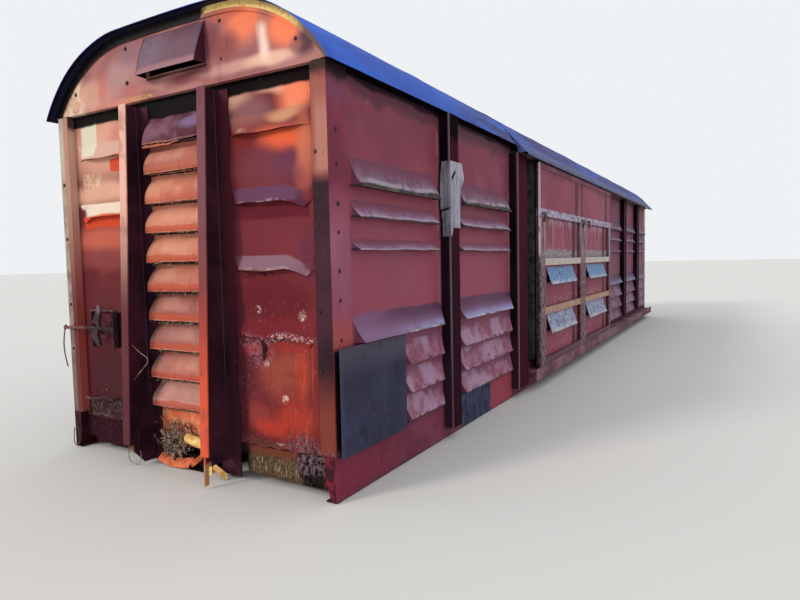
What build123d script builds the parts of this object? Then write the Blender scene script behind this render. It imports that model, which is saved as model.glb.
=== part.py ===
from build123d import *
from math import acos, atan2, cos, hypot, pi, sin, sqrt
import os

# Body of a bogie louvre van (a covered goods wagon), set down on its underframe
# with its bogies and couplers taken off. Millimetres. The origin is the middle of
# the footprint at ground level, +X runs along the body, +Z is up. The near side is
# the one at -Y, the near end the one at -X. The far side is the near side turned
# half a turn about Z, so each side reads: two bays, a doorway, three bays.

# Whole body
body_length = 14100
body_width = 2940
sill_depth = 324
sheet = 5
plate = 10
seat_gap = 0.5

# Heights of the side wall, down from the capping that carries the roof
cap_top = 2950
cap_t = 8
cap_shelf = 60
cant_drop = 90
panel_drop = 35
track_drop = 100
header_drop = 60

# Roof section: an almost flat crown that rolls over into round shoulders
eave_drop = 28
eave_beyond = 75
roof_rise = 591
crown_radius = 23000
shoulder_radius = 1215
roof_sheet_t = 5
roof_overhang = 65
bays = 8

# Side framing, measured along the side from the near end
corner_side_leg = 235
corner_end_leg = 128
end_recess = 64
post_width = 180
post_reach = 95
post_foot = 104
post_wall = 8
wall_inset = 10
post_1_at = 1760
post_2_at = 10575
post_3_at = 12340
jamb_left_from = 3480
jamb_left_width = 340
opening_lap = 30
opening_lap_far = 70
jamb_right_width = 180
jamb_return = 95

# Doors: two leaves a side that hang from a track and slide toward the far end
door_from = 4120
leaf_width = 2195
leaf_gap = 10
leaf_below_sill = 62
leaf_hang = 50
stile_lead = 200
stile_tail = 120
stile_upper = 30
door_clear = 10
door_thick = 60
rail_clear = 5
track_reach = 100
hood_clear = 25
hood_post_clear = 2
hood_below = 20
roller_r = 25
hanger_width = 120
hanger_edge = 8
hanger_rise = 35
roller_length = 33
roller_gap = 0.3
frame_wall = 8
bar_thick = 26
hood_drip = 22
hood_end_back = 20
hood_short = 150
track_end_back = 40
guide_drop = 27
guide_lip = 8
guide_skirt = 110
guide_end = 150
guide_lead = 230
hanger_in = 139

# Ends
arch_inset = 20
arch_rise = 5
rim_leg = 75
vent_half = 340
vent_rise = 150
vent_height = 320
vent_depth = 110
vent_aside = 45
vent_taper = 12
vent_bulge = 10
vent_slot_share = 0.4
stanchion_at = 442
stanchion_base = 200
stanchion_flange = 80
stanchion_drop = 45
stanchion_foot = 20
stanchion_reach_top = 103
stanchion_reach_foot = 221
flange_foot = 235
flange_foot_left = 205
web_strip = 42
web_torn = 150
web_cut_out = 50
panel_lap = 10
column_sheet_foot = 170

# Underframe
sill_flange = 90
bearer_bottom = 84
floor_t = 40
floor_boards = 12
board_joint = 6
floor_clear = 5
headstock_clear = 2
centre_web_at = 150
bolster_at = 4750
bolster_width = 420
bearer_width = 90
pivot_r = 32
pivot_depth = 100
pivot_plate_r = 140
pivot_plate_t = 60
bearer_bolt_r = 12
bearer_bolt_x = 240
bearer_bolt_y = 1600
bearer_bolt_depth = 60

# Edge that rust has left of the near headstock: distance in from its end, height
rust_line = [(0, 52), (140, 46), (420, 58), (560, 54), (700, 70), (774, 78), (790, 205), (1078, 222)]
rust_line_left = [(0, 100), (110, 96), (128, 44), (300, 52), (620, 40), (770, 58), (790, 190), (1318, 205)]
gusset_low = 120
gusset_foot = 45
# Coupler stub under the middle of the near end
stub_left = 180
stub_right = -205
stub_height = 118
stub_out = 46

# Roof sheet joints and hoops
roof_lap_width = 60
roof_lap_height = 4
roof_lap_rise = 260
hoop_width = 45
hoop_depth = 50

# Louvre hoods: their sheet, the step of their slope's inside, slot height over the lip
hood_sheet = 4
hood_open = 10
hood_inset_rise = 1.5
slot_share = 0.45
side_bulge = -6
end_bulge = -4
column_bulge = 9
panel_edge = 55
louvre_lead = 35
louvre_tail = 20
corner_clear = 8
board_clear = 15

half_length = body_length / 2
half_width = body_width / 2
wall_face = half_width - wall_inset
wall_back = wall_face - sheet
post_face = half_width + post_reach
door_back = post_face + door_clear
door_face = door_back + door_thick
cap_bottom = cap_top - cap_t
end_face = half_length - end_recess
end_back = end_face - sheet
floor_top = sill_depth
headstock_top = sill_depth - floor_t - plate
opening_from = door_from + opening_lap
opening_to = door_from + 2 * leaf_width + leaf_gap - opening_lap_far
panel_top = cap_top - panel_drop
track_top = cap_top - track_drop
track_foot = track_top - 2 * plate
header_bottom = track_top - header_drop
leaf_top = track_top - leaf_hang
leaf_bottom = sill_depth - leaf_below_sill
hood_low = track_top - hood_below
arch_bottom = cap_top + arch_rise
vent_foot = arch_bottom + vent_rise
stanchion_top = cap_top - stanchion_drop
eave_height = cap_top - eave_drop
eave_half = half_width + eave_beyond
roof_apex = eave_height + roof_rise


def at(distance):
    """X of a place given by its distance along the side from the near end."""
    return distance - half_length


def bay_joints():
    """X of each joint between the equal bays of roof and floor."""
    pitch = body_length / bays
    return [step * pitch for step in range(1 - bays // 2, bays // 2)]


def block(x0, x1, y0, y1, z0, z1):
    """A rectangular block between two corners."""
    centre = Pos((x0 + x1) / 2, (y0 + y1) / 2, (z0 + z1) / 2)
    return centre * Box(abs(x1 - x0), abs(y1 - y0), abs(z1 - z0))


def section_x(outline, x0, x1):
    """An outline of (y, z) points or edges, run along X."""
    plane = Plane(origin=(x0, 0, 0), x_dir=(0, 1, 0), z_dir=(1, 0, 0))
    return extrude(plane * as_face(outline), amount=x1 - x0)


def section_y(outline, y0, y1):
    """An outline of (x, z) points, run along Y."""
    plane = Plane(origin=(0, y1, 0), x_dir=(1, 0, 0), z_dir=(0, -1, 0))
    return extrude(plane * as_face(outline), amount=y1 - y0)


def section_z(outline, z0, z1):
    """An outline of (x, y) points, run up Z."""
    return extrude(Pos(0, 0, z0) * as_face(outline), amount=z1 - z0)


def as_face(outline):
    """A closed face from a list of corner points or from edges."""
    if isinstance(outline[0], tuple):
        return make_face(Polyline(*outline, close=True))
    return make_face(outline)


def turned(piece):
    """The twin of a piece on the other side and end: half a turn about Z."""
    return Rot(0, 0, 180) * piece


def crown_angle():
    """Angle that half of the crown takes up, so that the shoulder meets the eave."""
    reach = crown_radius - shoulder_radius
    height = eave_height - roof_apex + crown_radius
    span = hypot(eave_half, height)
    opening = acos((span**2 + reach**2 - shoulder_radius**2) / (2 * reach * span))
    return atan2(eave_half, height) - opening


def shoulder_centre():
    """Centre (y, z) of the right shoulder's arc."""
    turn = crown_angle()
    crown_centre = roof_apex - crown_radius
    reach = crown_radius - shoulder_radius
    return reach * sin(turn), crown_centre + reach * cos(turn)


def roof_half_width(z, inset=0):
    """Half width of the roof line at a height on the shoulder."""
    cy, cz = shoulder_centre()
    return cy + sqrt((shoulder_radius - inset) ** 2 - (z - cz) ** 2)


def shoulder_point(angle, inset):
    """Point on the right shoulder, its angle measured from straight up."""
    cy, cz = shoulder_centre()
    r = shoulder_radius - inset
    return cy + r * sin(angle), cz + r * cos(angle)


def shoulder_end(inset, lowest):
    """Angle at which the shoulder line comes down to the height lowest."""
    cz = shoulder_centre()[1]
    return acos((lowest - cz) / (shoulder_radius - inset))


def roof_line(inset, lowest):
    """The roof's line from left to right at an inset, as three edges, with its ends."""
    turn = crown_angle()
    last = shoulder_end(inset, lowest)
    start = shoulder_point(turn, inset)
    middle = shoulder_point((turn + last) / 2, inset)
    end = shoulder_point(last, inset)
    crown = ThreePointArc((-start[0], start[1]), (0, roof_apex - inset), start)
    right = ThreePointArc(start, middle, end)
    left = ThreePointArc((-end[0], end[1]), (-middle[0], middle[1]), (-start[0], start[1]))
    return [left, crown, right], (-end[0], end[1]), end


def roof_band(inset_out, inset_in, lowest):
    """Closed outline between two roof lines, cut off level at the height lowest."""
    outer, outer_left, outer_right = roof_line(inset_out, lowest)
    inner, inner_left, inner_right = roof_line(inset_in, lowest)
    ends = [Line(outer_right, inner_right), Line(inner_left, outer_left)]
    return outer + inner + ends


def hood(width, height, depth, tapers, bulge):
    """A pressed louvre hood: hollow, open below, standing off a wall in the XZ plane.

    Its top edge is at the origin's height plus height, its lip at the origin's
    height, and it comes out toward -Y. width is its length at the wall. The ends
    slant back to the wall over tapers, one for the -X end and one for the +X end;
    the lip reaches past the root where one is negative. bulge bows the slope
    outward, or inward where it is negative.
    """
    low_end, high_end = tapers
    def filled(drop, inset):
        reach = depth - inset
        top = height - inset * hood_inset_rise
        lean = hypot(height, depth)
        middle = (-reach / 2 - bulge * height / lean, (top - drop) / 2 + bulge * depth / lean)
        slope = [
            ThreePointArc((0, top), middle, (-reach, -drop)),
            Line((-reach, -drop), (0, -drop)),
            Line((0, -drop), (0, top)),
        ]
        body = section_x(slope, -width / 2 + min(low_end, 0), width / 2 - min(high_end, 0))
        side = width / 2 - inset
        plan = [(-side, 0), (side, 0), (side - high_end, -reach), (-side + low_end, -reach)]
        return body & section_z(plan, -drop, top)

    return filled(0, 0) - filled(hood_open, hood_sheet)


def louvred_sheet(x0, x1, z0, z1, louvres, bulge):
    """A flat sheet with its outer face at Y = 0 and louvre hoods on it.

    Each louvre is (lip height, slope height, depth, end tapers, from x, to x). A
    ventilating slot is cut through the sheet behind each one.
    """
    panel = block(x0, x1, 0, sheet, z0, z1)
    hoods = []
    for lip, height, depth, tapers, start, end in louvres:
        slot_from = start + max(tapers[0], 0) + 2 * hood_open
        slot_to = end - max(tapers[1], 0) - 2 * hood_open
        slot_top = lip + height * slot_share
        panel -= block(slot_from, slot_to, -1, sheet + 1, lip + hood_open, slot_top)
        hoods.append(Pos((start + end) / 2, 0, lip) * hood(end - start, height, depth, tapers, bulge))
    return panel.fuse(*hoods)


# Hand brake bracket, shaft and levers on the near end
brake_low = 985
brake_high = 1330
brake_inner = 585
brake_outer = 890
brake_reach = 150
brake_t = 8
shaft_z = 1150
shaft_r = 14
shaft_out = 95
shaft_beyond = 60
lever_half = 12
lever_foot = 780
lever_t = 20
crank_low = 1010
crank_high = 1300
crank_at = 720
crank_t = 25

# Low grab rod on the near end
rod_at = 965
rod_z = 500
rod_r = 9
rod_foot_r = 7
rod_out = 75
rod_length = 380
rod_foot_inset = 25

# Louvres of a side bay: lip height, slope height, depth, tapers of both ends, and
# how far the root ends short of the bay's last louvre line
side_louvres = [
    (panel_top - 765, 205, 78, (60, -50), 155),
    (panel_top - 977, 120, 72, (60, -50), 155),
    (panel_top - 1203, 80, 66, (60, -50), 155),
    (sill_depth + 738, 175, 76, (56, 70), 0),
    (sill_depth + 476, 185, 62, (55, 55), 0),
    (sill_depth + 243, 185, 62, (55, 55), 0),
    (sill_depth + 21, 175, 62, (55, 55), 0),
]
bay_2_margin = 130
low_louvre_top = sill_depth + 735
# Pressed ledges of an end panel: lip height, slope height, depth, end tapers
end_louvres = [
    (cap_top - 392, 130, 50, (70, 70)),
    (cap_top - 884, 110, 50, (70, 70)),
    (sill_depth + 1262, 100, 52, (70, 70)),
    (sill_depth + 776, 110, 52, (70, 70)),
    (sill_depth + 301, 110, 48, (70, 70)),
]
right_ledges = 4
left_ledges = 2
# Louvre column between the end stanchions: one row repeated downward to its foot
column_top_lip = cap_top - 358
column_pitch = 233.5
column_foot = sill_depth + 100
column_rows = 1 + int((column_top_lip - column_foot) // column_pitch)
column_row_height = 190
column_row_depth = 72
column_row_taper = 15
column_half = 338
column_sheet_half = stanchion_at - 2

board_from = 20
board_to = 910
board_bottom = 300
board_top = 1052
board_standoff = 46
batten_at = (330, 800)
batten_half = 20
batten_low = 20
batten_high = 40

# Folded plate round the near outer corner of the first post
wrap_t = 6
wrap_low = 1850
wrap_high = 2500
wrap_side = 78
wrap_beyond = 12


def side_bay(start, end, louvre_from, louvre_to, low_from):
    """One louvred sheet of the near side; the louvres below the board start at low_from."""
    rows = []
    for lip, height, depth, tapers, short in side_louvres:
        begin = low_from if lip < low_louvre_top else louvre_from
        rows.append((lip, height, depth, tapers, at(begin), at(louvre_to - short)))
    sheet_piece = louvred_sheet(at(start), at(end), sill_depth, panel_top, rows, side_bulge)
    return Pos(0, -wall_face, 0) * sheet_piece


def end_panel(sign, ledges):
    """One louvred panel of the near end, right of the column for sign -1, left for 1.

    ledges is how many of the pressed ledges it has, counted from the top. Its foot
    laps over the edge of the floor.
    """
    inner = stanchion_at + 2
    outer = half_width - corner_end_leg + plate
    first = inner + stanchion_base / 2 + panel_edge / 4
    rows = [
        (lip, height, depth, tapers, first, outer - panel_edge)
        for lip, height, depth, tapers in end_louvres[:ledges]
    ]
    panel = louvred_sheet(inner, outer, headstock_top - panel_lap, cap_top, rows, end_bulge)
    if sign > 0:
        panel = mirror(panel, Plane.YZ)
    return Pos(-end_face, 0, 0) * Rot(0, 0, -90) * panel


def end_column(foot):
    """The louvre column in the middle of the near end, its sheet down to the height foot."""
    rows = [
        (column_top_lip - i * column_pitch, column_row_height, column_row_depth,
         (column_row_taper, column_row_taper), -column_half, column_half)
        for i in range(column_rows)
    ]
    column = louvred_sheet(-column_sheet_half, column_sheet_half, foot, cap_top, rows, column_bulge)
    return Pos(-end_face, 0, 0) * Rot(0, 0, -90) * column


def corner_post():
    """Folded corner post of the near end and near side."""
    outline = [
        (0, 0),
        (corner_side_leg, 0),
        (corner_side_leg, plate),
        (plate, plate),
        (plate, corner_end_leg - plate),
        (end_recess, corner_end_leg - plate),
        (end_recess, corner_end_leg),
        (0, corner_end_leg),
    ]
    return Pos(-half_length, -half_width, 0) * section_z(outline, sill_depth, cap_bottom)


def side_post(start, width, top, foot):
    """A folded channel post off the near side's sheets; below the sheets it hugs the sole bar."""
    face, back = -post_face, -wall_face
    x0, x1 = at(start), at(start + width)
    outline = [
        (x0, back),
        (x0, face),
        (x1, face),
        (x1, back),
        (x1 - post_wall, back),
        (x1 - post_wall, face + post_wall),
        (x0 + post_wall, face + post_wall),
        (x0 + post_wall, back),
    ]
    post = section_z(outline, foot, top)
    if foot < sill_depth:
        post -= block(x0 - 1, x1 + 1, -half_width, -wall_back, foot - 1, sill_depth)
    return post


def jamb(post_start, post_width_here, edge, sign):
    """Doorway jamb: a channel post, a flat lap and a return into the doorway.

    edge is the doorway's own edge, and sign is 1 where the doorway lies toward +X.
    """
    post = side_post(post_start, post_width_here, track_foot, post_foot if sign > 0 else sill_depth)
    inner = at(post_start + post_width_here) if sign > 0 else at(post_start)
    stop = at(edge)
    fold = block(stop - sign * plate, stop, -wall_face, -wall_face + jamb_return,
                 sill_depth, header_bottom)
    if sign < 0:
        return post + fold
    lap = block(inner, stop, -half_width, -wall_face, sill_depth, header_bottom)
    return post + lap + fold


def cant_rail():
    """Top rail of the near side with the capping that takes the roof and the door header."""
    cap_edge = roof_half_width(cap_top, roof_sheet_t + seat_gap)
    ends = half_length - arch_inset
    cap = block(-ends, ends, -cap_edge, -wall_back + cap_shelf, cap_bottom, cap_top)
    web = block(-end_back, end_back, -wall_back, -wall_back + cap_t, cap_top - cant_drop, cap_bottom)
    middle_left = at(jamb_left_from + jamb_left_width / 2)
    middle_right = at(opening_to + jamb_right_width / 2)
    header = block(middle_left, middle_right, -wall_face, -wall_back, header_bottom, panel_top)
    return cap + web + header


def sole_bar():
    """Channel sole bar of the near side, flanges inward."""
    outline = [
        (-half_width, 0),
        (-half_width + sill_flange, 0),
        (-half_width + sill_flange, plate),
        (-half_width + plate, plate),
        (-half_width + plate, sill_depth - plate),
        (-half_width + sill_flange, sill_depth - plate),
        (-half_width + sill_flange, sill_depth),
        (-half_width, sill_depth),
    ]
    bar = section_x(outline, -half_length, half_length)
    inner = -half_width + sill_flange
    gusset = [
        (-half_width + plate / 2, plate / 2), (inner - gusset_foot, plate / 2), (inner, gusset_low),
        (inner, sill_depth - plate / 2), (-half_width + plate / 2, sill_depth - plate / 2),
    ]
    for start in (-half_length, half_length - plate):
        bar += section_x(gusset, start, start + plate)
    return bar


def headstock_outline(broken):
    """Front view (y, z) of a headstock; the near one has rusted away along its foot."""
    side = half_width - sill_flange - headstock_clear
    top = headstock_top
    if not broken:
        return [(-side, 0), (side, 0), (side, top), (-side, top)]
    foot = []
    for inward, height in rust_line:
        foot.append((inward - side, height))
    for inward, height in reversed(rust_line_left):
        foot.append((side - inward, height))
    return foot + [(side, top), (-side, top)]


def headstocks():
    """Headstock plates at both ends, behind the foot of the end wall, and the coupler stub."""
    near = section_x(headstock_outline(True), -end_back, -end_back + plate)
    far = section_x(headstock_outline(False), end_back - plate, end_back)
    rim = block(-end_back - stub_out, -end_back + plate, stub_right, stub_left, 0, stub_height)
    stub = rim - block(-end_back - stub_out - 1, -end_back, stub_right + plate, stub_left - plate,
                       plate, stub_height - plate)
    return [near, far, stub]


def centre_sill():
    """Box centre sill between the headstocks, open below, feet turned outward."""
    web, t = centre_web_at, plate
    foot = web + t + sill_flange
    top = sill_depth - floor_t
    outline = [
        (-foot, 0), (-web, 0), (-web, top - t), (web, top - t), (web, 0), (foot, 0),
        (foot, t), (web + t, t), (web + t, top), (-web - t, top), (-web - t, t), (-foot, t),
    ]
    ends = end_back - plate
    return section_x(outline, -ends, ends)


def cross_wing(middle, width, sign):
    """One wing of a crossing member, from the centre sill to a sole bar."""
    inner = centre_web_at + plate
    outer = half_width - plate
    y0, y1 = sorted((sign * inner, sign * outer))
    return block(middle - width / 2, middle + width / 2, y0, y1, bearer_bottom, sill_depth - floor_t)


def bolsters():
    """Body bolsters where the bogies go: a wing each side and a middle with the pivot."""
    pieces = []
    for middle in (-bolster_at, bolster_at):
        for sign in (-1, 1):
            wing = cross_wing(middle, bolster_width, sign)
            for step in (-1, 1):
                hole = Cylinder(bearer_bolt_r, bearer_bolt_depth)
                place = Pos(middle + step * bearer_bolt_x / 2, sign * bearer_bolt_y / 2,
                            bearer_bottom + bearer_bolt_depth / 2)
                wing -= place * hole
            pieces.append(wing)
        core = block(middle - bolster_width / 2, middle + bolster_width / 2,
                     -centre_web_at, centre_web_at, bearer_bottom, sill_depth - floor_t - plate)
        foot = bearer_bottom - pivot_plate_t
        disc = Pos(middle, 0, foot + pivot_plate_t / 2) * Cylinder(pivot_plate_r, pivot_plate_t)
        bore = Pos(middle, 0, foot + pivot_depth / 2) * Cylinder(pivot_r, pivot_depth)
        pieces.append(core + disc - bore)
    return pieces


def cross_bearers():
    """Lighter crossing members under the floor, one at each body pitch."""
    pieces = []
    for middle in bay_joints():
        if abs(abs(middle) - bolster_at) < bolster_width:
            continue
        for sign in (-1, 1):
            pieces.append(cross_wing(middle, bearer_width, sign))
    return pieces


def floor():
    """Timber floor between the sole bars, grooved along its board joints."""
    side = half_width - sill_flange - floor_clear
    end = end_back
    slab = block(-end, end, -side, side, sill_depth - floor_t, floor_top)
    step = 2 * side / floor_boards
    for i in range(1, floor_boards):
        y = -side + i * step
        slab -= block(-end - 1, end + 1, y - board_joint / 2, y + board_joint / 2,
                      floor_top - board_joint, floor_top + 1)
    return slab


def stanchion_front(z):
    """X of the front of a near-end stanchion's flange at a height."""
    share = (stanchion_top - z) / (stanchion_top - stanchion_foot)
    return -half_length - stanchion_reach_top - share * (stanchion_reach_foot - stanchion_reach_top)


def end_stanchion(sign, whole):
    """Fabricated stanchion of the near end: base plate, tapering web, narrow flange.

    A whole one keeps its foot. On the others the flange has rusted off above it; the
    right one keeps a strip of its web's front edge, the left one is cut back slanting.
    """
    base = block(-end_face - plate, -end_face, sign * stanchion_at - stanchion_base / 2,
                 sign * stanchion_at + stanchion_base / 2, stanchion_foot, stanchion_top)
    back, top = -end_face - plate / 2, stanchion_top
    low = stanchion_foot
    if whole:
        flange_low = low
        foot = [(stanchion_front(low), low), (back, low)]
    elif sign < 0:
        flange_low = flange_foot
        strip = stanchion_front(low) + web_strip
        foot = [(stanchion_front(low), low), (strip, low), (strip, web_torn), (back, web_torn)]
    else:
        flange_low = flange_foot_left
        foot = [(stanchion_front(flange_low), flange_low), (-half_length - web_cut_out, low), (back, low)]
    web = [(back, top), (stanchion_front(top), top)] + foot
    flange = [
        (stanchion_front(top), top), (stanchion_front(top) + plate, top),
        (stanchion_front(flange_low) + plate, flange_low), (stanchion_front(flange_low), flange_low),
    ]
    y = sign * stanchion_at
    web_piece = section_y(web, y - plate / 2, y + plate / 2)
    flange_piece = section_y(flange, y - stanchion_flange / 2, y + stanchion_flange / 2)
    return base + web_piece + flange_piece


def arch_plate():
    """Arched plate over the near end, with its rim angle, soffit shelf and vent hood."""
    front = -half_length + arch_inset
    inset = roof_sheet_t + seat_gap
    line, left, right = roof_line(inset, arch_bottom)
    panel = section_x(line + [Line(right, left)], front, front + sheet)
    rim = section_x(roof_band(inset, inset + rim_leg, arch_bottom), front - plate, front)
    shelf_half = half_width - corner_end_leg
    shelf = block(front, -end_back, -shelf_half, shelf_half, cap_top, arch_bottom)
    slot_half = vent_half - vent_taper * 3
    slot = block(front - 1, front + sheet + 1, -vent_aside - slot_half, -vent_aside + slot_half,
                 vent_foot + hood_open, vent_foot + vent_height * vent_slot_share)
    vent = Rot(0, 0, -90) * hood(2 * vent_half, vent_height, vent_depth, (vent_taper, vent_taper), vent_bulge)
    return (panel - slot) + rim + shelf + Pos(front, -vent_aside, vent_foot) * vent


def roof():
    """The roof sheet in one, with standing laps at its sheet joints."""
    ends = half_length + roof_overhang
    skin = section_x(roof_band(0, roof_sheet_t, eave_height), -ends, ends)
    laps = []
    for x in bay_joints():
        band = roof_band(-roof_lap_height, 0, eave_height + roof_lap_rise)
        laps.append(section_x(band, x - roof_lap_width / 2, x + roof_lap_width / 2))
    return skin.fuse(*laps)


def roof_hoops():
    """Hoops under the roof sheet, standing on the side cappings."""
    under = roof_sheet_t + seat_gap
    outline = roof_band(under, under + hoop_depth, cap_top)
    return [section_x(outline, x - hoop_width / 2, x + hoop_width / 2) for x in bay_joints()]


def hood_tangent(edge):
    """Point where a line from the hood's lower edge just touches the roof."""
    cy, cz = shoulder_centre()
    radius = shoulder_radius + seat_gap
    dy, dz = edge[0] - cy, edge[1] - cz
    angle = atan2(dz, dy) + acos(radius / hypot(dy, dz))
    return cy + radius * cos(angle), cz + radius * sin(angle)


def door_hood():
    """Weather hood over the near side's door track, a slope that runs off the roof."""
    edge = (door_face + hood_clear, hood_low)
    touch = hood_tangent(edge)
    run, rise = edge[0] - touch[0], edge[1] - touch[1]
    length = hypot(run, rise)
    out = (-rise / length * sheet, run / length * sheet)
    slope = [touch, edge, (edge[0] + out[0], edge[1] + out[1]), (touch[0] + out[0], touch[1] + out[1])]
    drip_foot = edge[1] - hood_drip
    lip = [edge, (edge[0] + out[0], edge[1] + out[1]), (edge[0] + sheet, drip_foot), (edge[0], drip_foot)]
    start, end = at(jamb_left_from + hood_end_back), half_length - hood_short
    skin = section_x([(-y, z) for y, z in slope], start, end)
    drip = section_x([(-y, z) for y, z in lip], start + 3 * hood_end_back, end)
    inner = post_face + hood_post_clear
    eave_low = eave_height - seat_gap
    lap_out = shoulder_radius + seat_gap
    cy, cz = shoulder_centre()
    foot_angle = acos((eave_low - cz) / lap_out)
    foot = (cy + lap_out * sin(foot_angle), eave_low)
    mid_angle = (foot_angle + pi / 2 - atan2(touch[1] - cz, touch[0] - cy)) / 2
    mid = (cy + lap_out * sin(mid_angle), cz + lap_out * cos(mid_angle))
    cap_outline = [
        Line((-touch[0], touch[1]), (-edge[0], edge[1])),
        Line((-edge[0], edge[1]), (-inner, edge[1])),
        Line((-inner, edge[1]), (-foot[0], foot[1])),
        ThreePointArc((-foot[0], foot[1]), (-mid[0], mid[1]), (-touch[0], touch[1])),
    ]
    near_cap = section_x(cap_outline, start, start + sheet)
    far_cap = section_x(cap_outline, end - sheet, end)
    return skin + drip + near_cap + far_cap


def door_track():
    """Angle track of the near side's doors, bolted to the header and the sheets."""
    start, end = at(jamb_left_from + track_end_back), half_length - corner_side_leg - rail_clear
    bottom = track_top - plate
    shelf = block(start, end, -half_width - track_reach, -wall_face, bottom, track_top)
    leg = block(start, end, -half_width, -wall_face, track_foot, bottom)
    return shelf + leg


def bottom_rail():
    """Guide rail on the sole bar, an angle whose deep face keeps the doors in."""
    start, end = at(door_from - guide_lead), half_length - guide_end
    lip_in = door_face + rail_clear
    shelf_top = leaf_bottom - guide_drop
    shelf = block(start, end, -lip_in - plate, -half_width, shelf_top - plate, shelf_top)
    lip = block(start, end, -lip_in - plate, -lip_in, shelf_top - guide_skirt, leaf_bottom + guide_lip)
    return shelf + lip


# Rails and bars across a door leaf: bottom height, top height, set back from its face
door_bars = [
    (leaf_bottom, 345, 0),
    (905, 992, 4),
    (1530, 1618, 4),
    (2150, 2240, 4),
]
stile_top = 2240
door_head = 65
upper_sheet_set = 8
# Flaps on a door leaf: lower edge, upper edge
door_flaps = [(1278, 1518), (640, 898)]
flap_inset = 228
flap_inset_tail = 308
flap_reach = 25
flap_t = 4
flap_bow = 6
flap_slot_side = 20
flap_slot_low = 25
flap_slot_high = 60


def door_frame(start):
    """Frame of a door leaf: stiles that narrow above the top bar, rails, bars and hangers."""
    x0, x1 = at(start), at(start + leaf_width)
    face, back = -door_face, -door_back
    wall = frame_wall
    frame = block(x0, x1, face, back, leaf_top - door_head, leaf_top)
    for start_x, width in ((x0, stile_lead), (x1 - stile_tail, stile_tail)):
        frame += block(start_x, start_x + width, face, back, leaf_bottom, stile_top)
        frame -= block(start_x + wall, start_x + width - wall, face + wall, back + 1,
                       leaf_bottom + wall, stile_top - wall)
    for start_x in (x0, x1 - stile_upper):
        frame += block(start_x, start_x + stile_upper, face, back, stile_top - wall, leaf_top - door_head + 1)
    for low, high, back_set in door_bars:
        frame += block(x0 + stile_lead - wall, x1 - stile_tail + wall, face + back_set,
                       face + back_set + bar_thick, low, high)
    hanger_back = -half_width - track_reach - hanger_edge
    for x in (x0 + hanger_in, x1 - hanger_in):
        frame += block(x - hanger_width / 2, x + hanger_width / 2, hanger_back - plate,
                       hanger_back, leaf_top - 2 * plate, track_top + hanger_rise)
        wheel = Rot(90, 0, 0) * Cylinder(roller_r, roller_length)
        place = Pos(x, hanger_back + roller_length / 2, track_top + roller_r + roller_gap)
        frame += place * wheel
    return frame


def door_panel(start):
    """Sheets of a door leaf: one at its back with two open flaps over vent slots, and
    one above the top bar that steps out close to the outer face."""
    x0, x1 = at(start) + stile_lead, at(start + leaf_width) - stile_tail
    back = -door_back
    face = back - sheet
    panel = block(x0, x1, face, back, leaf_bottom, stile_top + sheet)
    upper_x0, upper_x1 = at(start) + stile_upper, at(start + leaf_width) - stile_upper
    upper = -door_face + upper_sheet_set
    panel += block(upper_x0, upper_x1, upper, back, stile_top, stile_top + sheet)
    panel += block(upper_x0, upper_x1, upper, upper + sheet, stile_top, leaf_top - door_head)
    for low, high in door_flaps:
        f0, f1 = x0 + flap_inset, x1 - flap_inset_tail
        panel -= block(f0 + flap_slot_side, f1 - flap_slot_side, face - 1, back + 1,
                       low + flap_slot_low, high - flap_slot_high)
        reach = -door_face - flap_reach
        mid = ((face + reach) / 2 + flap_bow, (low + high) / 2 - flap_t)
        hinge_foot = high - 3 * flap_t
        outline = [
            ThreePointArc((face, high), mid, (reach, low)),
            Line((reach, low), (reach + flap_t, low)),
            ThreePointArc((reach + flap_t, low), (mid[0] + flap_t, mid[1]), (face, hinge_foot)),
            Line((face, hinge_foot), (face, high)),
        ]
        panel += section_x(outline, f0, f1)
    return panel


def data_board():
    """Bare data board on the near side, held off the wall by two battens."""
    face = -wall_face - board_standoff
    board = block(at(board_from), at(board_to), face - sheet, face, board_bottom, board_top)
    for middle in batten_at:
        board += block(at(middle - batten_half), at(middle + batten_half), face, -wall_face,
                       sill_depth + batten_low, board_top - batten_high)
    return board


def post_wrap():
    """Folded plate round the near outer corner of the first post."""
    t = wrap_t
    x0 = at(post_1_at - post_width / 2)
    x1 = x0 + post_width + wrap_beyond
    y = -post_face
    side = y + wrap_side
    outline = [(x0, y), (x1, y), (x1, y - t), (x0 - t, y - t), (x0 - t, side), (x0, side)]
    return section_z(outline, wrap_low, wrap_high)


def brake_gear():
    """Hand brake bracket, cross shaft and lever on the near end, left of the stanchions."""
    back = -end_face
    low, high, y0, y1, t = brake_low, brake_high, brake_inner, brake_outer, brake_t
    bracket = block(back - t, back, y0, y1, low, high)
    for y in (y0, y1 - t):
        bracket += block(back - brake_reach, back, y, y + t, low, high)
    bracket += block(back - brake_reach, back, y0, y1, high - t, high)
    shaft_x = back - shaft_out
    tail = half_width + shaft_beyond
    shaft = Pos(shaft_x, (y0 + tail) / 2, shaft_z) * Rot(90, 0, 0) * Cylinder(shaft_r, tail - y0)
    x0, x1 = shaft_x - lever_half, shaft_x + lever_half
    crank = block(x0, x1, crank_at, crank_at + crank_t, crank_low, crank_high)
    lever = block(x0, x1, tail - lever_t, tail, lever_foot, shaft_z + shaft_r)
    return bracket + shaft + crank + lever


def grab_rod():
    """Low grab rod on the near end's left panel."""
    back = -end_face
    bar = Pos(back - rod_out, rod_at, rod_z) * Rot(90, 0, 0) * Cylinder(rod_r, rod_length)
    foot_reach = rod_length / 2 - rod_foot_inset
    for y in (rod_at - foot_reach, rod_at + foot_reach):
        bar += Pos(back - rod_out / 2, y, rod_z) * Rot(0, 90, 0) * Cylinder(rod_foot_r, rod_out)
    return bar


def write(name, shape):
    """Write one sub-part's STEP file."""
    shape = Compound(children=list(shape)) if isinstance(shape, list) else shape
    export_step(shape, "parts/" + name + ".step")


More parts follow.
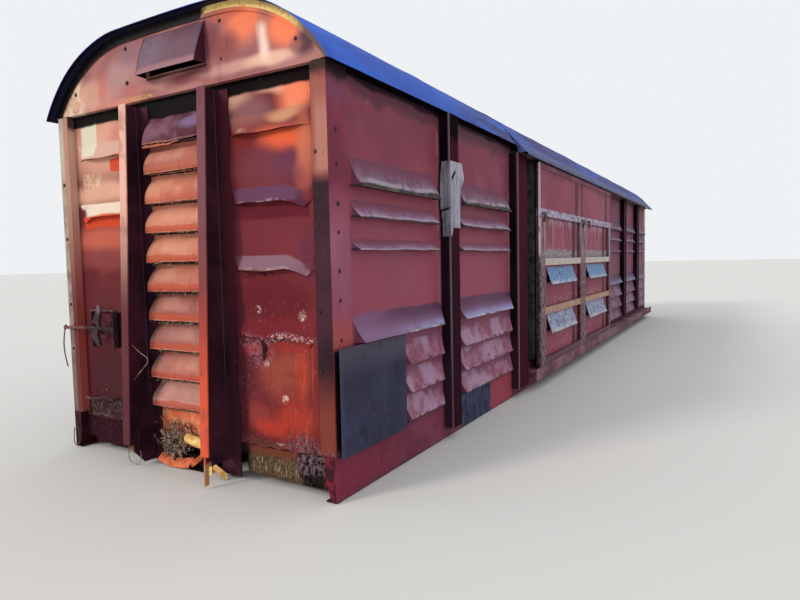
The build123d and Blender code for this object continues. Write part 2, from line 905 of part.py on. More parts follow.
os.makedirs("parts", exist_ok=True)

# Side bays of the near side: sheet from, sheet to, louvres from, louvres to, low louvres from
wall_start = end_recess
mid_left = jamb_left_from + jamb_left_width / 2
mid_right = opening_to + jamb_right_width / 2
half_post = post_width / 2
lead = half_post + louvre_lead
tail = half_post + louvre_tail
side_bays = [
    (wall_start, post_1_at, corner_side_leg + corner_clear, post_1_at - tail, board_to + board_clear),
    (post_1_at, mid_left, post_1_at + lead + bay_2_margin, jamb_left_from - louvre_tail, 0),
    (mid_right, post_2_at, opening_to + jamb_right_width + louvre_lead, post_2_at - tail, 0),
    (post_2_at, post_3_at, post_2_at + lead, post_3_at - tail, 0),
    (post_3_at, body_length - wall_start, post_3_at + lead, body_length - corner_side_leg - corner_clear, 0),
]
for number, (start, end, louvre_from, louvre_to, low_from) in enumerate(side_bays, start=1):
    bay = side_bay(start, end, louvre_from, louvre_to, low_from or louvre_from)
    write("side_bay_near_" + str(number), bay)
    write("side_bay_far_" + str(number), turned(bay))

# Framing of both sides
post_rows = [
    (post_1_at, panel_top, post_foot),
    (post_2_at, track_foot, sill_depth),
    (post_3_at, track_foot, sill_depth),
]
posts = [side_post(middle - half_post, post_width, top, foot) for middle, top, foot in post_rows]
posts.append(jamb(jamb_left_from, jamb_left_width, opening_from, 1))
posts.append(jamb(opening_to, jamb_right_width, opening_to, -1))
write("side_posts_near", posts)
write("side_posts_far", [turned(post) for post in posts])
first_corner = corner_post()
second_corner = mirror(first_corner, Plane.XZ)
write("corner_posts", [first_corner, second_corner, turned(first_corner), turned(second_corner)])
rail = cant_rail()
write("cant_rails", [rail, turned(rail)])
bar = sole_bar()
write("sole_bar_near", bar)
write("sole_bar_far", turned(bar))

# Underframe
write("headstocks", headstocks())
write("centre_sill", centre_sill())
write("bolsters", bolsters())
write("cross_bearers", cross_bearers())
write("floor", floor())

# Ends
rusted = [end_stanchion(sign, False) for sign in (-1, 1)]
sound = [turned(end_stanchion(sign, True)) for sign in (-1, 1)]
write("end_stanchions", rusted + sound)
write("end_panels_near", [end_panel(-1, right_ledges), end_panel(1, left_ledges)])
write("end_panels_far", [turned(end_panel(sign, len(end_louvres))) for sign in (-1, 1)])
write("end_louvres_near", end_column(column_sheet_foot))
write("end_louvres_far", turned(end_column(headstock_top - panel_lap)))
arch = arch_plate()
write("arch_plate_near", arch)
write("arch_plate_far", turned(arch))
write("end_fittings", [brake_gear(), grab_rod()])

# Roof
write("roof_sheet", roof())
write("roof_hoops", roof_hoops())
hood_near = door_hood()
write("door_hood_near", hood_near)
write("door_hood_far", turned(hood_near))

# Door gear, boards and plates
track = door_track()
write("door_tracks", [track, turned(track)])
guide = bottom_rail()
write("door_guide_rails", [guide, turned(guide)])
board = data_board()
write("data_boards", [board, turned(board)])
write("post_wrap_plate", post_wrap())

# Door leaves: a is the leaf nearer the first bays, b the one that leads when they open
leaf_starts = {"a": door_from, "b": door_from + leaf_width + leaf_gap}
for letter, start in leaf_starts.items():
    frame = door_frame(start)
    panel = door_panel(start)
    write("door_frame_near_" + letter, frame)
    write("door_panel_near_" + letter, panel)
    write("door_frame_far_" + letter, turned(frame))
    write("door_panel_far_" + letter, turned(panel))
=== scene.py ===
import math
import random

import bmesh
import bpy
from bpy.props import FloatProperty, FloatVectorProperty, IntProperty, PointerProperty
from mathutils import Matrix, Vector, noise


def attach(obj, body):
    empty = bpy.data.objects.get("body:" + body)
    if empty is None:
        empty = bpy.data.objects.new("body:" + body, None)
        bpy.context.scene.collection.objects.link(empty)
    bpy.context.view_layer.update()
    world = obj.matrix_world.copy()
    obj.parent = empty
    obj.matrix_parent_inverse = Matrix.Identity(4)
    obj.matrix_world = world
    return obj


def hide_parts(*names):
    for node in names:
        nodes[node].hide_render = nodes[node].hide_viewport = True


bl_info = {
    "name": "Louvre van body",
    "version": (1, 0, 0),
    "blender": (4, 5, 0),
    "location": "3D View > Sidebar > Van",
    "description": "Dresses the packed van body with worn sheets, paint, rust and small iron",
    "category": "Object",
}

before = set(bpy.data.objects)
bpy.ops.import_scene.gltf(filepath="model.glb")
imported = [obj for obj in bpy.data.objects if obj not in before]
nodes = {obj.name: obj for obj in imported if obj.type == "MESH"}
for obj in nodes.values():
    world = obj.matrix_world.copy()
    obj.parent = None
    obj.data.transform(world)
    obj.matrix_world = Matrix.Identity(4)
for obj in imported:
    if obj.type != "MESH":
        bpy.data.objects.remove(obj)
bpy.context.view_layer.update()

# Places on the van in metres: the faces of its sheets and posts, measured from the middle
SIDE_SHEET = 1.460
END_SHEET = 6.986
END_FACE = 7.05
ARCH_FACE = 7.03
HALF_WIDTH = 1.47
SILL_TOP = 0.324
SIDE_TOP = 2.915
END_TOP = 2.95
# lips of the narrow side louvres, and the foot and top of the big one
HIGH_LIPS = (2.150, 1.938, 1.712)
BIG_LEDGE = (1.045, 1.30)
# where the first door leaf begins, and the foot and top of the three bars of a leaf
DOOR_FROM = -2.930
TOP_BAR, MIDDLE_BAR, LOW_BAR = (2.146, 2.244), (1.526, 1.622), (0.901, 0.996)
# louvre column: top lip, distance from lip to lip, height of one louvre
COLUMN_TOP, COLUMN_PITCH, COLUMN_LOUVRE = 2.592, 0.2335, 0.190
# roof section: centre and radius of the shoulder, top of the crown and how fast it falls
SHOULDER_Y, SHOULDER_Z, SHOULDER_RADIUS = 0.506, 2.292, 1.215
CROWN_TOP, CROWN_FALL = 3.513, 0.0217
# vent hood on the arch plate: middle, half width, top and slope
HOOD_MIDDLE, HOOD_HALF, HOOD_TOP, HOOD_SLOPE = 0.045, 0.360, 3.425, 0.110 / 0.320
# stanchions: top, taper of their flange, middle of each
STANCHION_TOP, STANCHION_TAPER, STANCHION_MIDDLE = 2.905, 0.0409, 0.442
# shaft of the hand brake, and the fold of the plate on the first post
BRAKE_X, BRAKE_Z = -7.081, 1.15
PLATE_FOLD = -5.3885
ROOF_LAP_STEP = 1.7625
PLANK_WIDTH = 0.22917
SIDE_BAYS = ((-6.986, -5.29), (-5.29, -3.40), (1.49, 3.525), (3.525, 5.29), (5.29, 6.986))


def srgb(red, green, blue):
    """Scene-linear colour from the 0 to 255 values that a screen shows."""
    def linear(value):
        v = value / 255
        return v / 12.92 if v <= 0.04045 else ((v + 0.055) / 1.055) ** 2.4

    return (linear(red), linear(green), linear(blue), 1.0)


def colour_choice(name, note, red, green, blue):
    """A colour property of the panel."""
    return FloatVectorProperty(
        name=name, description=note, subtype="COLOR", size=4, min=0, max=1,
        default=srgb(red, green, blue),
    )


def length_choice(name, note, default, low, high):
    """A length property of the panel, in metres."""
    return FloatProperty(
        name=name, description=note, default=default, min=low, max=high, unit="LENGTH",
    )


def share_choice(name, note):
    """A strength property of the panel, 1 as photographed."""
    return FloatProperty(name=name, description=note, default=1.0, min=0, max=2, subtype="FACTOR")


class VanSizes(bpy.types.PropertyGroup):
    sheet_wave: length_choice(
        "Sheet wave", "How far the thin side sheets bow in and out", 0.006, 0, 0.02)
    end_wave: length_choice("End dents", "Depth of the dents in the end sheets", 0.013, 0, 0.03)
    sheet_step: length_choice(
        "Sheet grid", "Spacing of the points that let a sheet bend", 0.06, 0.03, 0.2)
    bolt_size: length_choice(
        "Bolt head", "Width of a bolt head over its corners", 0.019, 0.008, 0.06)
    bolt_height: length_choice(
        "Bolt height", "How far a bolt head stands out", 0.006, 0.002, 0.03)
    twig_length: length_choice(
        "Twig length", "Length of the dry grass and twigs under the louvres", 0.075, 0.02, 0.3)
    twig_count: IntProperty(
        name="Twigs in a row", description="Twigs under one louvre of the end column",
        default=46, min=0, max=200,
    )
    edge_wear: share_choice("Edge wear", "How strongly lips and ledges are rubbed pale")
    rust_share: share_choice("Rust share", "How much of the steel has rusted through its paint")


class VanColours(bpy.types.PropertyGroup):
    side_paint: colour_choice("Side paint", "Maroon of the long sides", 142, 66, 84)
    side_deep: colour_choice("Side paint, deep", "Maroon where the sides stay damp", 126, 56, 76)
    side_faded: colour_choice("Side paint, faded", "Chalky rose, bleached by the sun", 156, 78, 96)
    end_paint: colour_choice("End paint", "Red-brown of the ends", 118, 46, 50)
    end_deep: colour_choice("End paint, deep", "Brown-maroon low on the ends", 92, 34, 42)
    # end_bright: orange-red that the ends use as painted sunlight in the bands under their left
    # ledges
    end_bright: colour_choice("End primer", "Orange-red primer that shows through", 206, 72, 40)
    post_paint: colour_choice("Post paint", "Near-black maroon of the posts", 34, 20, 34)
    # roof_paint: its blue is partly painted sky reflection
    roof_paint: colour_choice("Roof sheet", "Blue-grey of the roof", 62, 92, 170)
    roof_dull: colour_choice("Roof sheet, dull", "Violet-grey stains of the roof", 74, 66, 118)
    rust: colour_choice("Rust", "Flaking rust", 92, 50, 36)
    rust_dark: colour_choice("Old rust", "Black-brown old rust", 44, 30, 30)
    chalk: colour_choice("Old white paint", "Chalky grey-white paint", 214, 206, 184)
    board_black: colour_choice("Board", "Blue-black of the data board", 54, 54, 78)
    floor_shade: colour_choice("Stage floor", "Plain pale floor", 214, 212, 208)


# Materials


def math_node(tree, kind, a, b):
    """A Math node of a tree, on outputs or plain numbers."""
    node = tree.nodes.new("ShaderNodeMath")
    node.operation = kind
    for socket, value in zip(node.inputs, (a, b)):
        if isinstance(value, bpy.types.NodeSocket):
            tree.links.new(value, socket)
        else:
            socket.default_value = value
    return node.outputs[0]


class Recipe:
    """A material in the making: a shader that reads the piece's own coordinates."""

    def __init__(self, name):
        self.material = bpy.data.materials.new(name)
        self.material.use_nodes = True
        self.tree = self.material.node_tree
        self.tree.nodes.clear()
        self.shader = self.tree.nodes.new("ShaderNodeBsdfPrincipled")
        output = self.tree.nodes.new("ShaderNodeOutputMaterial")
        self.join(self.shader.outputs["BSDF"], output.inputs["Surface"])
        coordinates = self.tree.nodes.new("ShaderNodeTexCoord")
        self.place = coordinates.outputs["Object"]
        self.x, self.y, self.z = self.split(self.place)
        self.abs_x, self.abs_y = self.math("ABSOLUTE", self.x), self.math("ABSOLUTE", self.y)
        self.up = self.split(coordinates.outputs["Normal"])[2]
        self.off_side = self.minus(self.abs_y, SIDE_SHEET)
        self.off_end = self.minus(self.abs_x, END_SHEET)
        # to the right as seen when one stands before an end, and along a side from its left
        self.across = self.times(self.y, self.math("SIGN", self.x))
        self.along = self.times(self.x, self.math("SIGN", self.y), -1.0)

    def join(self, a, b):
        self.tree.links.new(a, b)

    def put(self, socket, value):
        """Joins a socket to an output, or gives it a value; three numbers are a screen colour."""
        if isinstance(value, bpy.types.NodeSocket):
            self.join(value, socket)
        elif isinstance(value, tuple) and len(value) == 3:
            socket.default_value = srgb(*value)
        else:
            socket.default_value = value

    def split(self, vector):
        node = self.tree.nodes.new("ShaderNodeSeparateXYZ")
        self.join(vector, node.inputs[0])
        return node.outputs[0], node.outputs[1], node.outputs[2]

    def math(self, kind, a, b=0.0):
        return math_node(self.tree, kind, a, b)

    def times(self, *values):
        result = values[0]
        for value in values[1:]:
            result = self.math("MULTIPLY", result, value)
        return result

    def plus(self, a, b):
        return self.math("ADD", a, b)

    def minus(self, a, b):
        return self.math("SUBTRACT", a, b)

    def rest(self, share):
        return self.math("SUBTRACT", 1.0, share)

    def most(self, *values):
        result = values[0]
        for value in values[1:]:
            result = self.math("MAXIMUM", result, value)
        return result

    def ramp(self, value, low, high):
        """0 below low, 1 above high and smooth between; falling where low is above high."""
        node = self.tree.nodes.new("ShaderNodeMapRange")
        node.interpolation_type = "SMOOTHSTEP"
        self.put(node.inputs["Value"], value)
        start, end = (0.0, 1.0) if low < high else (1.0, 0.0)
        node.inputs["From Min"].default_value = min(low, high)
        node.inputs["From Max"].default_value = max(low, high)
        node.inputs["To Min"].default_value = start
        node.inputs["To Max"].default_value = end
        return node.outputs[0]

    def band(self, value, low, high, soft):
        """1 between two values, 0 outside, with soft edges."""
        above = self.ramp(value, low - soft, low + soft)
        return self.times(above, self.ramp(value, high + soft, high - soft))

    def spot(self, u, v, at_u, at_v, reach_u, reach_v, core=0.35):
        """1 in the middle of an oval on two coordinates, 0 outside it."""
        du = self.math("DIVIDE", self.minus(u, at_u), reach_u)
        dv = self.math("DIVIDE", self.minus(v, at_v), reach_v)
        far = self.math("SQRT", self.plus(self.times(du, du), self.times(dv, dv)))
        return self.ramp(far, 1.25, core)

    def frayed(self, value, reach, *noise_values):
        """A coordinate with rough noise added, so that edges painted along it are ragged."""
        return self.plus(value, self.times(self.rough(*noise_values), reach))

    def warped(self, value, scale, reach, shift):
        """A coordinate pushed about by slow noise, so that edges painted along it wander."""
        push = self.minus(self.rough(scale, 2, 0.5, shift=shift), 0.5)
        return self.plus(value, self.times(push, 2 * reach))

    def rough(self, scale, detail=4.0, roughness=0.6, stretch=(1, 1, 1), shift=(0, 0, 0),
              twist=0.0):
        """Noise on the piece's own coordinates, from about 0.25 to 0.75."""
        source = self.place
        if stretch != (1, 1, 1) or shift != (0, 0, 0):
            mapping = self.tree.nodes.new("ShaderNodeMapping")
            mapping.inputs["Scale"].default_value = stretch
            mapping.inputs["Location"].default_value = shift
            self.join(source, mapping.inputs["Vector"])
            source = mapping.outputs[0]
        node = self.tree.nodes.new("ShaderNodeTexNoise")
        node.inputs["Scale"].default_value = scale
        node.inputs["Detail"].default_value = detail
        node.inputs["Roughness"].default_value = roughness
        node.inputs["Distortion"].default_value = twist
        self.join(source, node.inputs["Vector"])
        return node.outputs[0]

    def blend(self, share, a, b):
        """Colour a, going over to colour b with share."""
        node = self.tree.nodes.new("ShaderNodeMix")
        node.data_type = "RGBA"
        self.put(node.inputs[0], share)
        self.put(node.inputs[6], a)
        self.put(node.inputs[7], b)
        return node.outputs[2]

    def lay(self, colour, tint, *shares):
        """A colour with a tint over it, as strong as the product of the shares."""
        return self.blend(self.times(*shares), colour, tint)

    def patches(self, low, high, *noise_values, **noise_options):
        """Soft-edged patches of noise: 0 where it lies below low, 1 above high."""
        return self.ramp(self.rough(*noise_values, **noise_options), low, high)

    def mottle(self, a, b, low, high, *noise_values, **noise_options):
        """Colour a with patches of colour b."""
        return self.blend(self.patches(low, high, *noise_values, **noise_options), a, b)

    def over(self, tint, *shares):
        """Lays a tint over the recipe's own colour."""
        self.colour = self.lay(self.colour, tint, *shares)

    def darken(self, share, amount):
        self.over((0.012, 0.008, 0.009, 1), share, amount)

    def finish(self, roughness, relief, relief_depth, specular=0.4):
        """Sets the shader, with relief as bump of that depth in metres."""
        self.join(self.colour, self.shader.inputs["Base Color"])
        self.shader.inputs["Roughness"].default_value = roughness
        self.shader.inputs["Specular IOR Level"].default_value = specular
        bump = self.tree.nodes.new("ShaderNodeBump")
        bump.inputs["Strength"].default_value = 0.7
        bump.inputs["Distance"].default_value = relief_depth
        self.join(relief, bump.inputs["Height"])
        self.join(bump.outputs[0], self.shader.inputs["Normal"])
        return self.material


def colours():
    return bpy.context.scene.van_colours


def sizes():
    return bpy.context.scene.van_sizes


def tone(name):
    return tuple(getattr(colours(), name))


def rust_over(r, amount, scale=5.0):
    """Rust patches with darker hearts over the colour; gives their share."""
    coarse = r.rough(scale, 6, 0.68, twist=0.4)
    fine = r.rough(scale * 9, 4, 0.7)
    field = r.plus(r.times(coarse, 0.75), r.times(fine, 0.25))
    level = 0.64 - 0.1 * amount * sizes().rust_share
    share = r.ramp(field, level, level + 0.04)
    heart = r.ramp(field, level + 0.05, level + 0.10)
    r.over(tone("rust"), share)
    r.over(tone("rust_dark"), heart)
    return share


def streaks_over(r, tint, strength, scale, level=0.55, mask=1.0):
    """Narrow runs down a sheet."""
    run = r.rough(scale, 3, 0.6, stretch=(1, 1, 0.05))
    r.over(tint, r.ramp(run, level, level + 0.14), strength, mask)


def sheet_relief(r, rust):
    """Pitted paint and raised rust as one height."""
    pits = r.rough(140, 2, 0.5)
    return r.plus(r.times(pits, 0.25), r.times(rust, r.rough(70, 4, 0.7)))


def side_sheet_paint():
    """Maroon of the side sheets: grime and painted shadow under the eave, lilac ledges partly
    painted sky light, rubbed low louvres.
    """
    r = Recipe("side_sheet_paint")
    r.colour = r.mottle(tone("side_deep"), tone("side_paint"), 0.36, 0.62, 1.1, 3, 0.5,
                        shift=(3.1, 0, 1.7))
    r.over(tone("side_faded"), r.ramp(r.z, 2.2, 1.4), 0.55)
    r.over((146, 84, 102), r.patches(0.50, 0.72, 2.3, 3, 0.5), 0.4)
    seam = r.times(r.patches(0.35, 0.6, 5, 3, 0.6), 0.4)
    for start in (-5.45, -3.62, 3.30, 5.10):
        line = r.times(r.band(r.along, start, start + 0.05, 0.02), r.ramp(r.off_side, 0.01, 0.004))
        r.over((176, 132, 140), line, seam)
    high = r.ramp(r.z, 1.58, 1.66)
    big = r.band(r.z, *BIG_LEDGE, 0.012)
    low = r.ramp(r.z, 1.06, 1.04)
    slope = r.ramp(r.up, 0.06, 0.12)
    first = r.times(high, r.ramp(r.z, 2.10, 2.12))
    # high ledges: rose at the root, greyed lilac toward the lip, the lilac partly painted sky light
    # on the upward slopes
    rise = r.ramp(r.off_side, 0.004, 0.058)
    washed = r.patches(0.40, 0.62, 15, 3, 0.6, stretch=(1, 1, 0.25))
    ledge = r.blend(rise, (124, 68, 90), r.blend(washed, (142, 108, 138), (170, 142, 176)))
    grey = r.blend(rise, (112, 62, 84), r.blend(washed, (118, 88, 112), (140, 122, 142)))
    r.over(r.blend(first, ledge, grey), slope, high, 0.9)
    # gussets at the louvre ends lie in their own shadow
    cheek = r.times(r.ramp(r.off_side, 0.006, 0.02), r.ramp(r.up, 0.05, 0.02),
                    r.ramp(r.up, -0.2, -0.1))
    r.over((74, 40, 62), cheek, 0.75)
    # the big ledge goes from wine at the root to a blue lilac at the lip: painted sky light on its
    # upward slope, with painted sheen in patches
    rise_big = r.ramp(r.off_side, 0.006, 0.062)
    sheen = r.most(r.times(r.ramp(r.along, -6.35, -5.75), r.ramp(r.along, -5.4, -5.5)),
                   r.ramp(r.along, -5.4, -5.3))
    sheen = r.times(sheen, r.patches(0.28, 0.50, 3.4, 3, 0.5))
    lilac = r.lay((134, 104, 136), (148, 144, 190), sheen, r.ramp(r.off_side, 0.030, 0.066))
    root = r.blend(r.ramp(r.along, -6.6, -6.1), (122, 84, 116), (90, 56, 84))
    r.over(r.blend(rise_big, root, lilac), slope, big, 0.95)
    # low louvres: mauve slopes, lilac partly as painted sky light on their upward faces, with dusty
    # and rubbed spots
    dust_and_sky_light = r.patches(0.36, 0.64, 9, 4, 0.6)
    r.over(r.blend(dust_and_sky_light, (132, 74, 98), (156, 110, 134)), slope, low, 0.85)
    wall = r.times(r.ramp(r.off_side, 0.012, 0.004), r.band(r.z, 0.36, 1.05, 0.01))
    r.over((124, 72, 94), wall, 0.8)
    bloom_and_sky_light = r.times(r.patches(0.46, 0.58, 3.4, 2, 0.5, shift=(0, 4, 0)), slope, low)
    r.over((172, 140, 166), bloom_and_sky_light, 0.7)
    # lips: olive and cream crust, then shadow beneath
    lip_high = r.times(r.ramp(r.off_side, 0.058, 0.064), high)
    lip_big = r.times(r.ramp(r.off_side, 0.066, 0.074), big)
    lip_low = r.times(r.ramp(r.off_side, 0.052, 0.060), low)
    crusty = r.patches(0.36, 0.52, 22, 4, 0.65, stretch=(1, 1, 0.4))
    crust_tone = r.mottle((96, 92, 76), (196, 188, 180), 0.44, 0.58, 4, 3, 0.5)
    worn_part = r.ramp(r.along, -6.25, -6.05)
    r.over(crust_tone, lip_big, crusty, worn_part, 0.85 * sizes().edge_wear)
    olive_lip = r.mottle((44, 38, 34), (92, 88, 70), 0.48, 0.62, 16, 4, 0.7, shift=(5, 0, 0))
    # painted highlight on the slope just above each high lip
    lip_highlight = r.times(r.band(r.off_side, 0.046, 0.064, 0.004), high, slope,
                        r.patches(0.36, 0.54, 9, 3, 0.6))
    r.over((176, 166, 178), lip_highlight, 0.6)
    r.over(olive_lip, lip_high, 0.95 * sizes().edge_wear)
    # painted shadow on the wall under each high lip
    lip_shadow = r.times(r.ramp(r.off_side, 0.006, 0.012), r.ramp(r.up, 0.05, 0.02))
    for lip in HIGH_LIPS:
        r.over((40, 32, 32), lip_shadow, r.band(r.z, lip - 0.02, lip + 0.014, 0.004), 0.9)
    rubbed = r.patches(0.56, 0.66, 10, 5, 0.7, stretch=(0.6, 1, 1))
    r.over((208, 190, 198), lip_low, rubbed, 0.8 * sizes().edge_wear)
    sooty = r.patches(0.52, 0.58, 14, 5, 0.75, shift=(0, 0, 4))
    r.over((40, 24, 34), lip_low, sooty, 0.9)
    # painted shade on the undersides of the lips, olive crust at their outer edge
    under = r.times(r.ramp(r.up, 0.0, -0.4), r.ramp(r.off_side, 0.004, 0.012))
    olive = r.blend(r.ramp(r.off_side, 0.045, 0.07), (34, 24, 28), (74, 70, 52))
    r.over(olive, under, 0.94)
    # grime and peeling under the eave with painted shadow: darker toward the top, black right under
    # it
    wander = r.frayed(r.z, 0.30, 4, 4, 0.65)
    eave_grime_and_shade = r.ramp(wander, 2.90, 2.98)
    crust = r.patches(0.46, 0.56, 26, 6, 0.85)
    r.over((78, 38, 54), eave_grime_and_shade, 0.55)
    mottled = r.times(r.band(wander, 2.91, 3.03, 0.03), crust)
    r.over((70, 60, 62), mottled, 0.7)
    shade = r.ramp(r.frayed(r.z, 0.10, 4, 4, 0.65), 2.915, 2.945)
    r.over((26, 10, 22), shade, 0.93)
    # beyond the doors the sheets are duller
    r.over((84, 58, 88), r.ramp(r.along, 1.35, 1.45), 0.45)
    # rust along the foot and in specks
    rust = rust_over(r, 0.0)
    foot = r.ramp(r.frayed(r.z, 0.20, 9, 5, 0.7), 0.47, 0.42)
    r.over((66, 34, 44), foot, 0.9)
    scuff = r.patches(0.64, 0.70, 50, 3, 0.75, stretch=(0.5, 0.5, 1))
    r.over((196, 168, 178), scuff, r.ramp(r.z, 1.1, 0.8), 0.5)
    relief = sheet_relief(r, r.most(rust, r.times(eave_grime_and_shade, crust)))
    return r.finish(0.6, relief, 0.0016, specular=0.14)


def painted_spots(r, u, v, spots):
    """Soft patches of other tones laid over the colour, one after the other; on the ends they are
    partly paint and partly painted patches of sunlight and shade.
    """
    for at_u, at_v, reach_u, reach_v, tint, share in spots:
        r.over(tint, r.spot(u, v, at_u, at_v, reach_u, reach_v), share)


def end_sheet_paint():
    """Red-brown of the end sheets: pale high up and orange in bands under the left ledges, partly
    paint and partly painted sunlight; rusty at the foot.
    """
    r = Recipe("end_sheet_paint")
    u = r.warped(r.across, 2.6, 0.07, (0, 2.0, 1.0))
    v = r.warped(r.z, 2.2, 0.09, (0, 5.0, 3.0))
    r.colour = r.mottle(tone("end_deep"), tone("end_paint"), 0.36, 0.62, 1.35, 4, 0.55,
                        shift=(0, 2.2, 0.6), twist=0.3)
    # tones of the end sheets, place by place: partly their paint, partly painted dappled sunlight
    # and shade
    painted_spots(r, u, v, (
        (0.60, 2.81, 0.20, 0.07, (196, 146, 128), 0.95),
        (0.74, 2.70, 0.26, 0.12, (136, 90, 92), 0.90),
        (0.98, 2.84, 0.20, 0.05, (226, 172, 140), 0.90),
        (1.18, 2.77, 0.19, 0.15, (238, 130, 96), 1.00),
        (1.06, 2.65, 0.18, 0.06, (214, 160, 116), 0.95),
        (1.04, 2.48, 0.26, 0.10, (222, 96, 60), 1.00),
        (0.68, 2.51, 0.15, 0.06, (122, 40, 38), 0.95),
        (0.86, 2.30, 0.34, 0.16, (116, 58, 68), 0.85),
        (1.10, 2.30, 0.18, 0.14, (98, 54, 78), 0.65),
        (1.25, 2.42, 0.10, 0.24, (200, 112, 86), 0.85),
        (1.20, 2.22, 0.10, 0.12, (170, 88, 82), 0.60),
        (0.90, 1.84, 0.50, 0.22, (116, 48, 58), 0.90),
        (1.24, 1.72, 0.12, 0.24, (96, 46, 64), 0.65),
        (0.92, 1.38, 0.44, 0.20, (98, 32, 40), 0.90),
        (0.98, 1.18, 0.34, 0.10, (116, 28, 36), 0.70),
        (0.98, 0.84, 0.26, 0.22, (150, 72, 54), 0.85),
        (1.06, 0.46, 0.22, 0.20, (168, 58, 42), 0.90),
        (1.16, 0.84, 0.07, 0.30, (172, 64, 46), 0.75),
        (0.62, 0.84, 0.10, 0.40, (92, 38, 46), 0.90),
        (0.72, 0.50, 0.16, 0.12, (150, 62, 56), 0.80),
        (0.84, 0.42, 0.18, 0.08, (180, 60, 42), 0.85),
        (1.28, 0.66, 0.07, 0.46, (122, 44, 38), 0.80),
        (-0.95, 2.66, 0.60, 0.34, (214, 156, 134), 1.00),
        (-0.70, 2.70, 0.18, 0.16, (200, 112, 96), 0.60),
        (-0.95, 2.26, 0.60, 0.13, (214, 162, 138), 1.00),
        (-0.95, 1.86, 0.60, 0.14, (190, 96, 76), 0.90),
        (-0.95, 1.70, 0.60, 0.12, (136, 66, 64), 0.80),
        (-0.95, 1.34, 0.60, 0.24, (96, 42, 44), 0.90),
        (-0.95, 0.62, 0.60, 0.42, (70, 34, 40), 0.95),
        (-0.72, 0.92, 0.14, 0.08, (146, 56, 42), 0.60),
    ))
    left = r.ramp(r.across, -0.4, -0.5)
    right = r.rest(left)
    slope = r.ramp(r.up, 0.03, 0.12)
    # tones of the ledges' upward slopes, right and left: paint with painted sunlight and
    # highlights, palest on the left
    ledges = (
        (2.69, 2.555, (158, 92, 80), 0.35, (206, 164, 148)),
        (2.18, 2.06, (98, 64, 88), 0.92, (232, 214, 192)),
        (1.69, 1.58, (132, 100, 112), 0.95, (140, 80, 80)),
        (1.22, 1.09, (110, 34, 44), 0.80, (100, 56, 60)),
    )
    for top, lip, right_tone, share, left_tone in ledges:
        sagged = r.plus(r.z, r.times(r.ramp(r.across, 1.02, 1.24), 0.058 if top < 2.3 else -0.012))
        zone = r.times(r.band(sagged, lip, top, 0.01), slope)
        r.over(right_tone, zone, right, share)
        r.over(left_tone, zone, left, 0.9)
    # painted sunlight below the ledges: vivid orange on the left where the sheet under each ledge
    # is lit, dull wine on the right
    inner = r.ramp(r.math("ABSOLUTE", r.across), 1.27, 1.25)
    for low, high, share_left, share_right, right_tone in (
        (2.44, 2.552, 0.95, 0.0, (142, 48, 48)),
        (1.96, 2.062, 0.95, 0.85, (94, 28, 40)),
        (1.01, 1.085, 0.0, 0.75, (150, 48, 42)),
    ):
        below = r.band(v, low, high, 0.010)
        vivid = r.times(below, left, inner, share_left)
        if low > 2.3:
            vivid = r.times(vivid, r.ramp(r.across, -0.88, -0.86))
        r.over(tone("end_bright"), vivid)
        r.over(right_tone, below, right, inner, share_right)
    # bare chalk-white patch high on the left, its lower part crusted
    patch = r.times(r.band(r.across, -1.245, -1.03, 0.012), r.band(v, 2.58, 2.88, 0.008))
    r.over(tone("chalk"), patch, 0.95)
    second = r.times(r.band(r.across, -1.245, -1.00, 0.02), r.band(v, 2.30, 2.44, 0.012))
    crusted = r.patches(0.46, 0.56, 26, 5, 0.75)
    r.over(r.blend(crusted, (222, 196, 166), (190, 140, 118)), second, 0.6)
    # fine runs and specks low on the right
    lower = r.times(r.ramp(r.z, 1.08, 0.95), r.ramp(r.across, 0.5, 0.6))
    streaks_over(r, (204, 82, 54), 0.5, 42, 0.54, r.times(lower, r.ramp(r.across, 0.9, 1.1)))
    streaks_over(r, (112, 44, 42), 0.45, 50, 0.54, lower)
    grit = r.times(lower, r.patches(0.56, 0.64, 34, 6, 0.8, stretch=(1, 1, 0.5)))
    r.over((96, 44, 44), grit, 0.35)
    drooped = r.times(r.ramp(r.across, 1.13, 1.20), r.ramp(r.off_end, 0.008, 0.018))
    r.over((80, 46, 72), drooped, r.band(r.z, 1.96, 2.18, 0.01), 0.9)
    r.over((122, 84, 100), drooped, r.band(r.z, 1.48, 1.69, 0.01), 0.9)
    crumbs = r.times(r.spot(r.across, r.z, 0.76, 1.560, 0.20, 0.035, 0.5),
                     r.patches(0.48, 0.56, 34, 5, 0.8))
    r.over((48, 18, 30), crumbs, right, 0.85)
    lip_edge = r.times(r.ramp(r.off_end, 0.036, 0.046), r.patches(0.44, 0.60, 14, 4, 0.65), slope)
    r.over((196, 164, 160), lip_edge, r.ramp(r.z, 1.4, 1.5), 0.45)
    # undersides of the ledges: painted shade low down, painted warm light high up and on the left
    under = r.times(r.ramp(r.up, 0.0, -0.4), r.ramp(r.off_end, 0.004, 0.012))
    shaded = r.blend(r.ramp(r.z, 2.3, 2.4), (84, 26, 34), (206, 98, 66))
    r.over(r.blend(left, shaded, (196, 80, 50)), under, 0.8)
    # painted shadow under the arch plate; darker beside the stanchions
    arch_plate_shadow = r.ramp(r.warped(r.z, 6, 0.02, (0, 0, 9)), 2.838, 2.862)
    r.over((5, 1, 3), arch_plate_shadow, 0.99)
    side_dark = r.times(r.ramp(r.warped(r.across, 3, 0.05, (0, 1, 3)), 0.64, 0.60), right)
    r.over((78, 32, 42), side_dark, r.ramp(r.z, 2.3, 2.0), 0.75)
